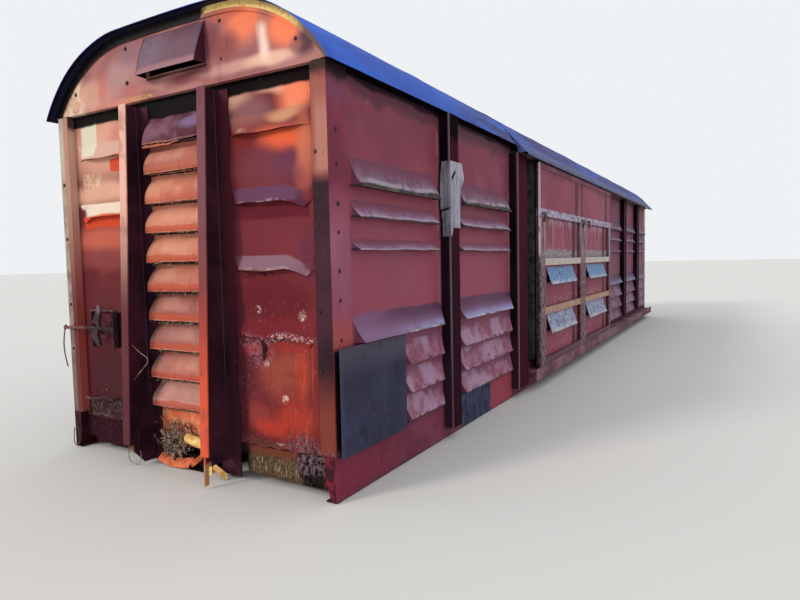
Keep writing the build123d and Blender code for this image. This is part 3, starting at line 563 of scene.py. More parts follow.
    # knocked and torn fourth ledge: pale chips and painted highlights on its crumpled edge
    chips = r.patches(0.50, 0.57, 44, 5, 0.75)
    battered = r.times(r.spot(r.across, v, 1.03, 1.115, 0.28, 0.035, 0.6), chips)
    r.over((206, 172, 170), battered, 0.85)
    bruised = r.times(r.spot(r.across, v, 0.70, 1.10, 0.16, 0.06, 0.5), chips)
    r.over((164, 112, 126), bruised, 0.6)
    shabby = r.times(r.spot(r.across, r.z, 0.76, 0.98, 0.14, 0.13, 0.5),
                     r.patches(0.46, 0.56, 38, 5, 0.75))
    r.over((150, 104, 116), shabby, 0.6)
    lean = r.plus(r.across, r.times(r.minus(r.z, 1.0), 0.12))
    tear = r.spot(lean, r.z, 0.785, 1.0, 0.020, 0.085, 0.7)
    r.over((30, 12, 20), tear, 0.95)
    rust = rust_over(r, 0.0, 6)
    # the foot: flaking low strip, rustier toward the corner
    foot = r.ramp(r.warped(r.z, 7, 0.05, (0, 3, 7)), 0.37, 0.29)
    flake = r.patches(0.46, 0.60, 48, 6, 0.8)
    r.over((116, 84, 68), foot, flake, 0.6)
    r.over((84, 44, 38), foot, 0.35)
    coral = r.patches(0.48, 0.56, 40, 6, 0.8)
    pit = r.times(r.spot(u, v, 1.17, 0.32, 0.22, 0.13, 0.4),
                  r.patches(0.44, 0.54, 26, 6, 0.8, shift=(0, 5, 0)))
    r.over((48, 28, 34), pit, 0.85)
    crumble = r.times(r.spot(u, v, 1.17, 0.31, 0.18, 0.11, 0.4), coral)
    r.over((128, 98, 108), crumble, 0.8)
    # darker low on the left: painted shade
    low_left = r.times(r.ramp(v, 0.46, 0.40), left)
    r.over((48, 28, 34), low_left, 0.8)
    specks = r.times(low_left, r.ramp(v, 0.24, 0.32), r.patches(0.52, 0.60, 30, 6, 0.8))
    r.over((112, 92, 88), specks, 0.7)
    # the slot beside the hand brake's plate
    slot = r.times(r.ramp(r.across, -0.885, -0.877), left, r.band(r.z, 0.93, 1.235, 0.006))
    r.over((6, 2, 5), slot, 0.97)
    ragged = r.patches(0.46, 0.54, 46, 5, 0.8, shift=(0, 2, 7))
    for at_y, at_z, size in (
        (1.00, 0.66, 0.030), (0.76, 1.30, 0.030), (0.82, 0.90, 0.022), (1.16, 1.26, 0.036),
    ):
        chip = r.times(r.spot(r.across, r.z, at_y, at_z, size, size * 1.1, 0.4), ragged)
        r.over((226, 190, 180), chip, 0.9)
    rash = r.times(r.patches(0.58, 0.64, 24, 6, 0.85, shift=(0, 8, 1)), right,
                   r.ramp(r.z, 1.5, 1.3))
    r.over((150, 94, 100), rash, 0.6)
    glints = r.patches(0.72, 0.77, 60, 2, 0.5, stretch=(1, 1, 0.6))
    r.over((214, 164, 146), glints, r.ramp(r.z, 1.25, 1.15), 0.75)
    relief = sheet_relief(r, r.most(rust, r.most(foot, crumble)))
    return r.finish(0.68, relief, 0.0020, specular=0.06)


def column_paint():
    """The louvre column of an end: peach, partly bleached paint and partly painted sunlight,
    orange-red along each lip.
    """
    r = Recipe("louvre_column_paint")
    from_foot = r.minus(r.z, COLUMN_TOP - COLUMN_PITCH * 12)
    row = r.math("FRACT", r.math("DIVIDE", from_foot, COLUMN_PITCH))
    r.colour = r.mottle((184, 104, 84), (206, 134, 108), 0.38, 0.62, 2.8, 3, 0.5, shift=(0, 0.7, 2))
    # tints row by row: partly paint, partly painted sunlight and shade
    for height, tint in (
        (2.45, (166, 94, 80)), (1.55, (186, 112, 90)), (1.32, (148, 84, 78)), (1.08, (146, 90, 86)),
        (0.82, (180, 112, 100)), (0.58, (196, 142, 132)), (0.36, (196, 116, 86)),
    ):
        r.over(tint, r.band(r.z, height - 0.09, height + 0.12, 0.02), 0.85)
    face = r.ramp(r.off_end, 0.006, 0.02)
    upper_face = r.times(r.band(row, 0.36, 0.80, 0.08),
                         r.patches(0.40, 0.6, 3.4, 2, 0.5, stretch=(1, 1, 0.4)))
    r.over((218, 162, 138), upper_face, 0.35)
    near_lip = r.times(face, r.ramp(r.warped(row, 5, 0.10, (0, 1, 4)), 0.27, 0.21),
                       r.ramp(r.z, 2.35, 1.9))
    r.over((188, 80, 58), near_lip, 0.75)
    soft_lip = r.times(face, r.ramp(row, 0.30, 0.10), r.ramp(r.z, 1.9, 2.35))
    r.over((198, 100, 72), soft_lip, 0.5)
    muted = r.times(face, r.band(row, 0.30, 0.95, 0.03), r.ramp(r.z, 1.7, 1.3),
                    r.patches(0.36, 0.5, 3.6, 3, 0.6, shift=(0, 3, 3)))
    r.over((168, 114, 108), muted, 0.5)
    right_warm = r.times(r.ramp(r.across, 0.05, 0.28),
                         r.patches(0.42, 0.6, 3.1, 2, 0.5, shift=(0, 9, 0)))
    r.over((186, 92, 74), right_warm, 0.35)
    lip_line = r.times(face, r.ramp(row, 0.05, 0.02), r.patches(0.44, 0.56, 20, 4, 0.7))
    r.over((216, 176, 154), lip_line, 0.45)
    streaks_over(r, (120, 58, 50), 0.3, 30, 0.58)
    # painted shadow: a black gap under each lip, then soot and painted shade above the next louvre
    reach = r.times(r.ramp(r.z, 2.3, 1.0), 0.07)
    lip_gap_shadow = r.ramp(r.frayed(r.plus(row, reach), 0.10, 30, 4, 0.7), 0.985, 1.015)
    r.over((6, 3, 4), lip_gap_shadow, 0.98)
    soot_and_shade = r.ramp(r.frayed(r.plus(row, reach), 0.34, 26, 4, 0.75), 1.06, 1.18)
    fine = r.mottle((64, 42, 40), (134, 104, 94), 0.45, 0.6, 90, 4, 0.7)
    r.over(fine, soot_and_shade, r.ramp(r.z, 2.3, 1.5), 0.7)
    edge_field = r.frayed(r.abs_y, 0.30, 44, 5, 0.8)
    side_dirt = r.times(r.ramp(edge_field, 0.42, 0.45), r.ramp(row, 0.22, 0.5),
                        r.ramp(r.z, 1.9, 1.4))
    r.over((104, 76, 70), side_dirt, 0.7)
    # the topmost louvre is dark violet: painted shade under the arch plate
    top = r.ramp(r.warped(r.z, 3, 0.02, (0, 1, 1)), 2.585, 2.600)
    violet = r.mottle((76, 38, 52), (118, 80, 98), 0.40, 0.60, 4, 3, 0.55)
    lilac = r.times(r.spot(r.across, r.z, 0.20, 2.72, 0.16, 0.06), 0.7)
    violet = r.blend(lilac, violet, (128, 110, 150))
    r.over(violet, top, 0.95)
    foot_line = r.times(top, r.ramp(row, 0.07, 0.03))
    r.over((150, 100, 96), foot_line, 0.7)
    # painted shadow under the arch plate
    arch_shadow_band = r.ramp(r.warped(r.z, 6, 0.02, (0, 0, 9)), 2.790, 2.805)
    r.over((5, 1, 3), arch_shadow_band, 0.99)
    # painted shade on the louvres' undersides
    under = r.times(r.ramp(r.up, 0.0, -0.4), r.ramp(r.off_end, 0.004, 0.012))
    r.darken(under, 0.93)
    rust = rust_over(r, 0.0, 8)
    low = r.ramp(r.z, 0.47, 0.44)
    low_tone = r.mottle((214, 100, 66), (232, 150, 108), 0.42, 0.6, 9, 4, 0.6)
    r.over(low_tone, low, 0.95)
    nest = r.times(low, r.spot(r.across, r.z, -0.12, 0.24, 0.24, 0.15, 0.7),
                   r.patches(0.40, 0.54, 40, 5, 0.75))
    r.over((60, 38, 36), nest, 0.9)
    relief = sheet_relief(r, r.most(rust, nest))
    return r.finish(0.62, relief, 0.002, specular=0.08)


def arch_paint():
    """The arched end plate: pink and cream on the left, orange on the right, partly paint and
    partly painted sunlight; lichen on the rim.
    """
    r = Recipe("arch_plate_paint")
    across = r.across
    u = r.warped(across, 2.4, 0.05, (0, 2.5, 1.5))
    v = r.warped(r.z, 2.4, 0.035, (0, 6.0, 2.0))
    r.colour = r.mottle((150, 90, 90), (176, 118, 112), 0.38, 0.6, 1.5, 3, 0.5, shift=(0, 1.3, 0.4),
                        twist=0.5)
    # tones of the plate, place by place: partly paint, partly painted dappled sunlight and shade
    painted_spots(r, u, v, (
        (-1.05, 3.06, 0.34, 0.14, (206, 152, 132), 1.00),
        (-0.92, 3.08, 0.14, 0.10, (196, 142, 126), 0.80),
        (-0.84, 3.12, 0.08, 0.15, (188, 98, 84), 0.65),
        (-0.62, 3.20, 0.20, 0.16, (176, 132, 130), 0.90),
        (-0.48, 3.34, 0.20, 0.10, (144, 102, 110), 0.85),
        (-0.45, 3.04, 0.16, 0.07, (176, 100, 92), 0.70),
        (-0.60, 2.97, 0.30, 0.04, (206, 128, 108), 0.80),
        (0.00, 3.04, 0.40, 0.04, (188, 134, 126), 0.80),
        (0.18, 3.04, 0.30, 0.06, (122, 58, 64), 0.95),
        (0.42, 3.26, 0.12, 0.16, (122, 62, 70), 0.95),
        (0.76, 3.34, 0.22, 0.19, (236, 122, 84), 1.00),
        (0.57, 3.19, 0.15, 0.12, (140, 70, 70), 0.90),
        (0.62, 3.42, 0.22, 0.06, (196, 96, 74), 0.85),
        (1.13, 3.22, 0.17, 0.16, (250, 128, 84), 1.00),
        (0.72, 3.03, 0.50, 0.05, (198, 146, 136), 0.90),
        (1.00, 3.03, 0.26, 0.05, (228, 180, 156), 0.95),
        (1.30, 3.08, 0.12, 0.09, (84, 46, 60), 0.95),
        (1.22, 3.08, 0.07, 0.05, (166, 96, 88), 0.70),
    ))
    streak_line = r.plus(u, r.times(r.minus(r.z, 3.15), 0.10))
    pale = r.times(r.band(streak_line, 0.905, 0.985, 0.035), r.ramp(v, 2.98, 3.08),
                   r.ramp(v, 3.32, 3.22))
    r.over((244, 206, 188), pale, 0.95)
    tip = r.times(r.ramp(across, -1.08, -1.18), r.patches(0.38, 0.58, 9, 4, 0.6))
    r.over((226, 204, 172), tip, 0.8)
    streaks_over(r, (118, 62, 66), 0.2, 9, 0.58)
    # the vent hood wears greyer, brightest on its belly
    proud = r.minus(r.abs_x, ARCH_FACE)
    aside = r.math("ABSOLUTE", r.minus(across, HOOD_MIDDLE))
    on_hood = r.ramp(aside, HOOD_HALF, HOOD_HALF - 0.015)
    hood = r.times(r.ramp(proud, 0.003, 0.012), on_hood, r.ramp(r.z, HOOD_TOP, HOOD_TOP - 0.010))
    speckle = r.patches(0.46, 0.60, 34, 5, 0.75)
    belly = r.times(r.ramp(across, 0.10, -0.14), r.ramp(r.z, 3.12, 3.20))
    hood_tone = r.lay((92, 64, 80), (110, 80, 96), r.patches(0.4, 0.6, 3, 3, 0.5), 0.6)
    mossy = r.times(r.patches(0.52, 0.60, 20, 5, 0.8, shift=(0, 3, 3)), r.ramp(across, 0.02, -0.2))
    hood_tone = r.lay(hood_tone, (158, 124, 98), mossy, 0.75)
    hood_tone = r.lay(hood_tone, (110, 92, 110), belly, r.plus(r.times(speckle, 0.45), 0.5))
    hood_tone = r.lay(hood_tone, (156, 112, 116), r.ramp(r.z, 3.17, 3.13), 0.8)
    # painted shade on the hood's sides
    hood_tone = r.blend(r.ramp(aside, 0.315, 0.33), hood_tone, (62, 24, 44))
    r.over(hood_tone, hood, 0.94)
    # painted shade in the hollow behind the hood's lip, and under downward faces
    hood_line = r.times(r.minus(HOOD_TOP, r.z), HOOD_SLOPE)
    shade_behind = r.times(hood, r.ramp(r.minus(hood_line, proud), 0.010, 0.016),
                     r.ramp(across, 0.335, 0.325))
    r.over((8, 3, 6), shade_behind, 0.98)
    beneath = r.times(r.ramp(r.up, 0.0, -0.4), r.ramp(proud, 0.003, 0.012))
    r.darken(beneath, 0.95)
    shadow = r.times(r.band(r.z, 3.085, 3.105, 0.005), r.ramp(aside, 0.35, 0.33),
                     r.ramp(proud, 0.006, 0.002))
    r.darken(shadow, 0.85)
    # rim angle: dark paint with painted shade on the left, like its soffit; thin yellow lichen on
    # the right
    rim = r.times(r.ramp(proud, 0.003, 0.007), r.rest(hood), r.ramp(proud, 0.014, 0.012))
    run = r.math("ABSOLUTE", across)
    dy, dz = r.minus(run, SHOULDER_Y), r.minus(r.z, SHOULDER_Z)
    round_gap = r.minus(SHOULDER_RADIUS, r.math("SQRT", r.plus(r.times(dy, dy), r.times(dz, dz))))
    flat_gap = r.minus(CROWN_TOP, r.plus(r.z, r.times(run, run, CROWN_FALL)))
    beyond = r.ramp(run, SHOULDER_Y - 0.006, SHOULDER_Y + 0.004)
    under_roof = r.plus(r.times(round_gap, beyond), r.times(flat_gap, r.rest(beyond)))
    inner_rim = r.ramp(under_roof, 0.050, 0.058)
    lichen_field = r.ramp(r.plus(r.times(r.rough(7, 3, 0.5), 0.4),
                                 r.times(r.minus(across, 0.36), 0.75)), 0.16, 0.24)
    dark_rim_and_shade = r.mottle((12, 5, 9), (48, 36, 32), 0.56, 0.68, 24, 4, 0.7)
    olive = r.mottle((218, 160, 102), (244, 210, 128), 0.36, 0.52, 24, 4, 0.7)
    olive = r.blend(r.ramp(across, 0.40, 0.10), olive, (138, 112, 62))
    olive = r.blend(r.ramp(across, 1.20, 1.32), olive, (112, 88, 70))
    r.over(r.blend(lichen_field, dark_rim_and_shade, olive), rim, r.rest(r.times(inner_rim, lichen_field)))
    # lichen fringe on the plate's foot, left of the middle
    fringe = r.times(r.patches(0.48, 0.56, 30, 4, 0.7),
                     r.spot(u, r.z, -0.36, 2.972, 0.16, 0.02, 0.6))
    r.over((190, 156, 60), fringe, 0.9)
    rust = rust_over(r, -0.15, 7)
    relief = sheet_relief(r, rust)
    return r.finish(0.55, relief, 0.0016, specular=0.14)


def roof_paint():
    """Blue-grey roof sheet, its blue partly painted sky reflection, with violet stains and a
    lichened lower edge.
    """
    r = Recipe("roof_sheet_paint")
    r.colour = r.mottle(tone("roof_dull"), tone("roof_paint"), 0.38, 0.60, 1.2, 4, 0.55,
                        stretch=(0.35, 1, 1))
    # blue streaks: painted sky reflection
    run = r.rough(6, 4, 0.6, stretch=(0.30, 1.8, 1.8), twist=0.3)
    r.over((40, 100, 214), r.ramp(run, 0.46, 0.60), 0.75)
    dirt = r.patches(0.46, 0.58, 2.6, 5, 0.7, stretch=(0.4, 1.4, 1.4), twist=0.4)
    r.over((56, 44, 92), dirt, 0.8)
    # lower down the sheet dulls to slate
    slate = r.ramp(r.z, 3.22, 3.02)
    r.over((80, 84, 130), slate, 0.25)
    speck = r.patches(0.54, 0.64, 46, 4, 0.75)
    edge = r.ramp(r.frayed(r.z, 0.08, 12, 4, 0.7), 3.02, 2.96)
    far_part = r.ramp(r.along, -4.4, -3.0)
    r.over((112, 116, 150), edge, far_part, 0.5)
    r.over((140, 132, 124), edge, speck, far_part, 0.7)
    drip = r.ramp(r.z, 2.945, 2.90)
    r.over((64, 52, 62), drip, r.patches(0.44, 0.56, 26, 4, 0.7), 0.7)
    # painted shade on the roof sheet's underside
    under = r.ramp(r.up, -0.02, -0.12)
    r.over((16, 10, 18), under, 0.98)
    in_sheet = r.math("FRACT", r.plus(r.math("DIVIDE", r.x, ROOF_LAP_STEP), 8.5))
    seam = r.math("ABSOLUTE", r.minus(in_sheet, 0.5))
    r.over((52, 54, 88), r.ramp(seam, 0.022, 0.017), 0.35)
    wave = r.rough(3.2, 2, 0.5, stretch=(1.6, 0.6, 0.6))
    relief = r.plus(wave, r.times(r.rough(120, 2, 0.5), 0.05))
    # bluer near part: painted sky reflection
    near_sky_reflection = r.times(r.ramp(r.along, -4.4, -5.4), r.rest(under), 0.5)
    r.over((36, 104, 224), near_sky_reflection)
    return r.finish(0.55, relief, 0.005, specular=0.05)


def post_paint():
    """Near-black maroon of the side posts, with a thin painted highlight down each fold."""
    r = Recipe("post_paint")
    r.colour = r.mottle((18, 9, 20), tone("post_paint"), 0.38, 0.62, 1.6, 4, 0.6, shift=(0, 0, 3))
    face = r.ramp(r.off_side, 0.098, 0.104)
    # post faces: dark maroon, near-black at the top as painted shadow of the roof
    front = r.blend(r.ramp(r.z, 1.2, 2.2), (46, 20, 30), (66, 20, 38))
    front = r.blend(r.ramp(r.z, 2.62, 2.76), front, (14, 5, 12))
    r.over(front, face, 0.85)
    streaks_over(r, (74, 38, 52), 0.3, 17)
    # painted highlights down the folds of the posts
    edges = (-5.382, -3.57, 3.435, 5.20, 1.395)
    fold_highlights = r.most(*(r.band(r.along, edge, edge + 0.003, 0.0015) for edge in edges))
    fold_highlights = r.times(fold_highlights, r.ramp(r.off_side, 0.080, 0.098))
    r.over((150, 128, 134), fold_highlights, 0.8)
    # painted highlight down the second edge of the door jamb
    second = r.times(r.band(r.along, -3.566, -3.55, 0.003), r.ramp(r.off_side, 0.08, 0.09))
    second_highlight_tone = r.blend(r.ramp(r.z, 0.8, 2.2), (190, 116, 122), (168, 120, 138))
    r.over(second_highlight_tone, second, 0.85)
    right_part = r.times(r.band(r.along, -3.55, -3.25, 0.004), r.ramp(r.off_side, 0.0, 0.01))
    r.over((72, 24, 42), right_part, 0.6)
    lap = r.times(r.band(r.along, -3.232, -2.88, 0.004), r.ramp(r.off_side, 0.03, 0.02))
    lap_tone = r.mottle((34, 36, 36), (72, 80, 76), 0.42, 0.62, 7, 5, 0.7)
    r.over(lap_tone, lap, 0.9)
    foot = r.times(r.ramp(r.z, 1.0, 0.5), r.ramp(r.off_side, 0.10, 0.098))
    r.over((64, 38, 54), foot, 0.7)
    rust = rust_over(r, -0.2, 9)
    relief = sheet_relief(r, rust)
    return r.finish(0.8, relief, 0.0014, specular=0.02)


def sole_bar_paint():
    """Red-brown sole bar: redder at the corner, scraped along the side, muddy below."""
    r = Recipe("sole_bar_paint")
    r.colour = r.mottle((104, 46, 64), (128, 62, 84), 0.38, 0.62, 1.4, 4, 0.55)
    corner = r.ramp(r.abs_x, 5.9, 6.9)
    r.over((122, 36, 52), corner, 0.7)
    ruddy = r.band(r.along, -4.24, -3.56, 0.01)
    r.over((164, 70, 84), ruddy, 0.8)
    down = r.rough(34, 3, 0.65, stretch=(1, 1, 0.12))
    r.over((84, 36, 52), r.ramp(down, 0.56, 0.68), 0.4)
    worn = r.rough(26, 4, 0.7)
    r.over((160, 120, 134), r.ramp(worn, 0.62, 0.70), 0.4)
    top = r.ramp(r.frayed(r.z, 0.07, 16, 5, 0.75), 0.333, 0.348)
    r.over(r.mottle((52, 28, 38), (140, 110, 120), 0.5, 0.6, 50, 4, 0.7), top, 0.8)
    mud = r.ramp(r.frayed(r.z, 0.14, 11, 5, 0.7), 0.095, 0.06)
    r.over((72, 58, 70), mud, 0.85)
    # a dark blue-grey painted stretch below the second bay
    patch = r.times(r.band(r.along, -4.99, -4.25, 0.01), r.ramp(r.abs_y, 1.44, 1.46))
    patch_tone = r.mottle((34, 42, 64), (62, 76, 104), 0.4, 0.6, 22, 4, 0.7, stretch=(1, 1, 0.3))
    r.over(patch_tone, patch, 0.94)
    rust = rust_over(r, 0.0, 6)
    # the closed end under the corner post is darker
    closed = r.times(r.ramp(r.abs_x, 7.02, 7.04), r.ramp(r.abs_y, 1.468, 1.462))
    end_tone = r.mottle((34, 12, 20), (108, 30, 42), 0.44, 0.6, 14, 5, 0.7)
    r.over(end_tone, closed, 0.9)
    r.darken(r.ramp(r.across, -1.3, -1.4), 0.6)
    relief = sheet_relief(r, r.most(rust, mud))
    return r.finish(0.7, relief, 0.002, specular=0.12)


def corner_paint():
    """Corner posts: maroon and rose on the near corner, bleached white on the far one."""
    r = Recipe("corner_post_paint")
    cloud = r.rough(1.8, 4, 0.55, shift=(1, 0, 2))
    on_end = r.ramp(r.abs_x, END_FACE - 0.007, END_FACE - 0.001)
    side_tone = r.blend(r.ramp(cloud, 0.40, 0.60), (116, 46, 66), (138, 58, 78))
    faded = r.mottle((150, 88, 112), (166, 104, 124), 0.4, 0.6, 1.2, 3, 0.5, shift=(0, 0, 8))
    side_tone = r.lay(side_tone, faded, r.band(r.z, 1.25, 1.95, 0.3), 0.75)
    side_tone = r.lay(side_tone, (170, 80, 76), r.ramp(r.z, 1.32, 1.1), 0.8)
    side_tone = r.lay(side_tone, (112, 66, 94), r.ramp(r.z, 2.6, 2.8), 0.6)
    # painted shadow beside the data board
    shade_behind = r.times(r.ramp(r.z, 1.06, 1.02), r.ramp(r.along, -7.05, -7.03))
    side_tone = r.lay(side_tone, (12, 6, 14), shade_behind, 0.97)
    end_tone = r.blend(r.ramp(cloud, 0.40, 0.60), (44, 22, 32), (66, 33, 44))
    shape = r.warped(r.z, 5, 0.04, (2, 0, 0))
    outer = r.ramp(r.abs_y, 1.36, 1.39)
    sunned = r.times(r.ramp(shape, 2.20, 2.26), r.ramp(shape, 2.80, 2.58), outer)
    end_tone = r.lay(end_tone, (60, 34, 34), r.ramp(shape, 2.80, 2.86), 0.8)
    end_tone = r.lay(end_tone, (168, 96, 84), r.band(shape, 2.2, 2.85, 0.05), 0.8)
    end_tone = r.lay(end_tone, (176, 118, 104), sunned, 0.85)
    end_tone = r.lay(end_tone, (134, 60, 46), r.ramp(r.z, 0.95, 0.55), 0.75)
    seam = r.times(r.band(r.abs_y, 1.337, 1.344, 0.002), 0.85)
    end_tone = r.blend(seam, end_tone, (34, 16, 24))
    r.colour = r.blend(on_end, side_tone, end_tone)
    # the corner away from the photographed side has bleached to a chalky white
    inside_tone = r.blend(r.ramp(r.z, 1.2, 2.4), (104, 44, 46), (176, 128, 112))
    # the recessed inner return is painted lighter: painted light against the shade of the recess
    recess = r.times(r.rest(on_end), r.ramp(r.abs_y, 1.43, 1.42))
    recess_lit_tone = r.blend(r.ramp(r.z, 1.2, 2.4), (178, 82, 72), (214, 176, 156))
    inside_tone = r.lay(inside_tone, recess_lit_tone, recess, 0.9)
    r.over(inside_tone, r.ramp(r.across, -1.2, -1.3))
    pale = r.ramp(r.across, -1.400, -1.415)
    chalk = r.mottle((118, 102, 92), (164, 150, 136), 0.36, 0.6, 7, 5, 0.65)
    chalk = r.lay(chalk, (196, 184, 160), r.ramp(r.z, 2.2, 2.6), 0.6)
    chalk = r.lay(chalk, (104, 86, 80), r.ramp(r.z, 1.6, 0.6), 0.8)
    r.over(chalk, pale, 0.95)
    streaks_over(r, (84, 46, 46), 0.15, 20, 0.58)
    # painted shade under the eave at the top of the side faces
    head = r.times(r.ramp(r.warped(r.z, 7, 0.05, (3, 3, 3)), 2.80, 2.88), r.rest(on_end))
    r.over((22, 10, 18), head, 0.9)
    rust = rust_over(r, 0.0, 8)
    foot = r.ramp(r.frayed(r.z, 0.25, 9, 5, 0.7), 0.50, 0.44)
    r.over(r.mottle((84, 32, 36), (132, 92, 92), 0.45, 0.58, 60, 5, 0.75), foot, 0.8)
    relief = sheet_relief(r, r.most(rust, foot))
    return r.finish(0.62, relief, 0.0018, specular=0.12)


def stanchion_paint():
    """End stanchions: dark brown-maroon webs, partly painted shade, faded flanges, orange rust low
    on the edges.
    """
    r = Recipe("stanchion_paint")
    # the web's dark tone is partly painted shade
    r.colour = r.mottle((42, 18, 30), (70, 34, 48), 0.38, 0.62, 1.7, 4, 0.6, shift=(4, 0, 0))
    out = r.minus(r.abs_x, END_FACE)
    slant = r.minus(out, r.times(r.minus(STANCHION_TOP, r.z), STANCHION_TAPER))
    flange = r.ramp(slant, 0.088, 0.094)
    right = r.blend(r.ramp(r.z, 0.9, 2.2), (134, 56, 48), (122, 76, 84))
    right = r.lay(right, (222, 92, 62), r.ramp(r.z, 1.60, 0.45), 0.95)
    left = r.blend(r.ramp(r.z, 1.2, 2.3), (98, 50, 54), (232, 178, 158))
    left = r.lay(left, (88, 44, 50), r.ramp(r.z, 1.0, 0.5), 0.8)
    tint = r.blend(r.ramp(r.across, -0.1, 0.1), left, right)
    tint = r.lay(tint, (104, 56, 60), r.patches(0.50, 0.66, 5, 4, 0.6), 0.4)
    r.over(tint, flange, 0.95)
    # the web's thin pale lines, folded and scraped downward
    scrape = r.rough(16, 3, 0.6, stretch=(1, 1, 0.05), shift=(2, 2, 0))
    web = r.rest(flange)
    r.over((92, 58, 82), r.ramp(scrape, 0.60, 0.68), web, 0.35)
    rib = r.times(r.band(r.x, -7.034, -7.030, 0.001), r.ramp(r.z, 0.5, 1.0), web)
    r.over((120, 84, 112), rib, 0.7)
    beside = r.minus(r.abs_y, STANCHION_MIDDLE)
    base = r.times(r.ramp(r.abs_x, 7.004, 6.999), r.ramp(beside, 0.004, 0.010))
    base_tone = r.blend(r.ramp(r.z, 0.9, 1.7), (62, 30, 42), (80, 32, 42))
    r.over(base_tone, base, 0.85)
    torn = r.times(r.ramp(r.z, 0.20, 0.16), r.ramp(slant, 0.03, 0.05))
    r.over((190, 140, 100), torn, 0.8)
    rust = rust_over(r, 0.0, 9)
    relief = sheet_relief(r, rust)
    return r.finish(0.68, relief, 0.0018, specular=0.08)


def door_sheet_paint():
    """Sheets of a door leaf: plain above, pale runs below the top bar, scuffed below."""
    r = Recipe("door_sheet_paint")
    r.colour = r.mottle((134, 62, 80), (150, 76, 94), 0.36, 0.62, 1.3, 3, 0.5, shift=(0.5, 0, 2.5))
    run_zone = r.times(r.ramp(r.z, 2.17, 2.12), r.ramp(r.z, 1.60, 1.72))
    runs = r.patches(0.50, 0.66, 11, 3, 0.6, stretch=(1, 1, 0.10))
    thin = r.patches(0.58, 0.68, 30, 3, 0.6, stretch=(1, 1, 0.08))
    r.over((172, 134, 150), run_zone, runs, 0.35)
    r.over((206, 184, 192), run_zone, thin, 0.3)
    near_top = r.times(r.ramp(r.z, 2.0, 2.14), run_zone,
                       r.patches(0.46, 0.6, 14, 3, 0.6, stretch=(1, 1, 0.3)))
    r.over((190, 178, 190), near_top, 0.7)
    ledge = r.times(r.ramp(r.warped(r.z, 8, 0.04, (0, 2, 0)), 1.75, 1.71), r.ramp(r.z, 1.60, 1.62),
                    r.patches(0.38, 0.52, 40, 4, 0.7))
    r.over(r.mottle((112, 122, 130), (186, 190, 190), 0.45, 0.6, 50, 3, 0.7), ledge, 0.9)
    flecks = r.times(r.band(r.z, 0.99, 1.10, 0.03), r.patches(0.54, 0.60, 24, 5, 0.75))
    r.over((210, 176, 172), flecks, 0.75)
    scuff_zone = r.ramp(r.z, 0.85, 0.6)
    scuff = r.patches(0.54, 0.62, 22, 5, 0.75, stretch=(1, 1, 0.5))
    r.over((186, 130, 142), scuff_zone, scuff, 0.45)
    # shade along a leaf's tail and under the eave
    tail = r.most(*(r.band(r.along, place - 0.18, place, 0.02) for place in (-1.005, 1.15)))
    r.over((58, 26, 42), tail, 0.85)
    shade = r.ramp(r.z, 2.62, 2.74)
    r.over((86, 44, 56), shade, 0.6)
    rust = rust_over(r, 0.0, 7)
    # flaps: galvanised above, lilac-grey and battered below
    flap = r.times(r.ramp(r.off_side, 0.121, 0.126), r.ramp(r.z, 1.56, 1.54))
    grain = r.patches(0.42, 0.58, 34, 6, 0.85, stretch=(1, 1, 0.6))
    upper = r.blend(grain, (74, 98, 138), (132, 166, 204))
    lower = r.mottle((110, 108, 134), (170, 178, 204), 0.42, 0.58, 20, 5, 0.75, stretch=(1, 1, 0.5))
    flap_tone = r.blend(r.ramp(r.z, 1.05, 1.15), lower, upper)
    pale_lip = r.times(r.ramp(r.off_side, 0.175, 0.19), r.patches(0.40, 0.56, 18, 4, 0.7))
    flap_tone = r.lay(flap_tone, (196, 196, 186), pale_lip, 0.7)
    rusty = r.patches(0.60, 0.66, 70, 4, 0.75)
    flap_tone = r.lay(flap_tone, (86, 74, 92), rusty, 0.6)
    r.over(flap_tone, flap)
    relief = sheet_relief(r, r.most(rust, r.times(run_zone, runs)))
    return r.finish(0.62, relief, 0.0016, specular=0.12)


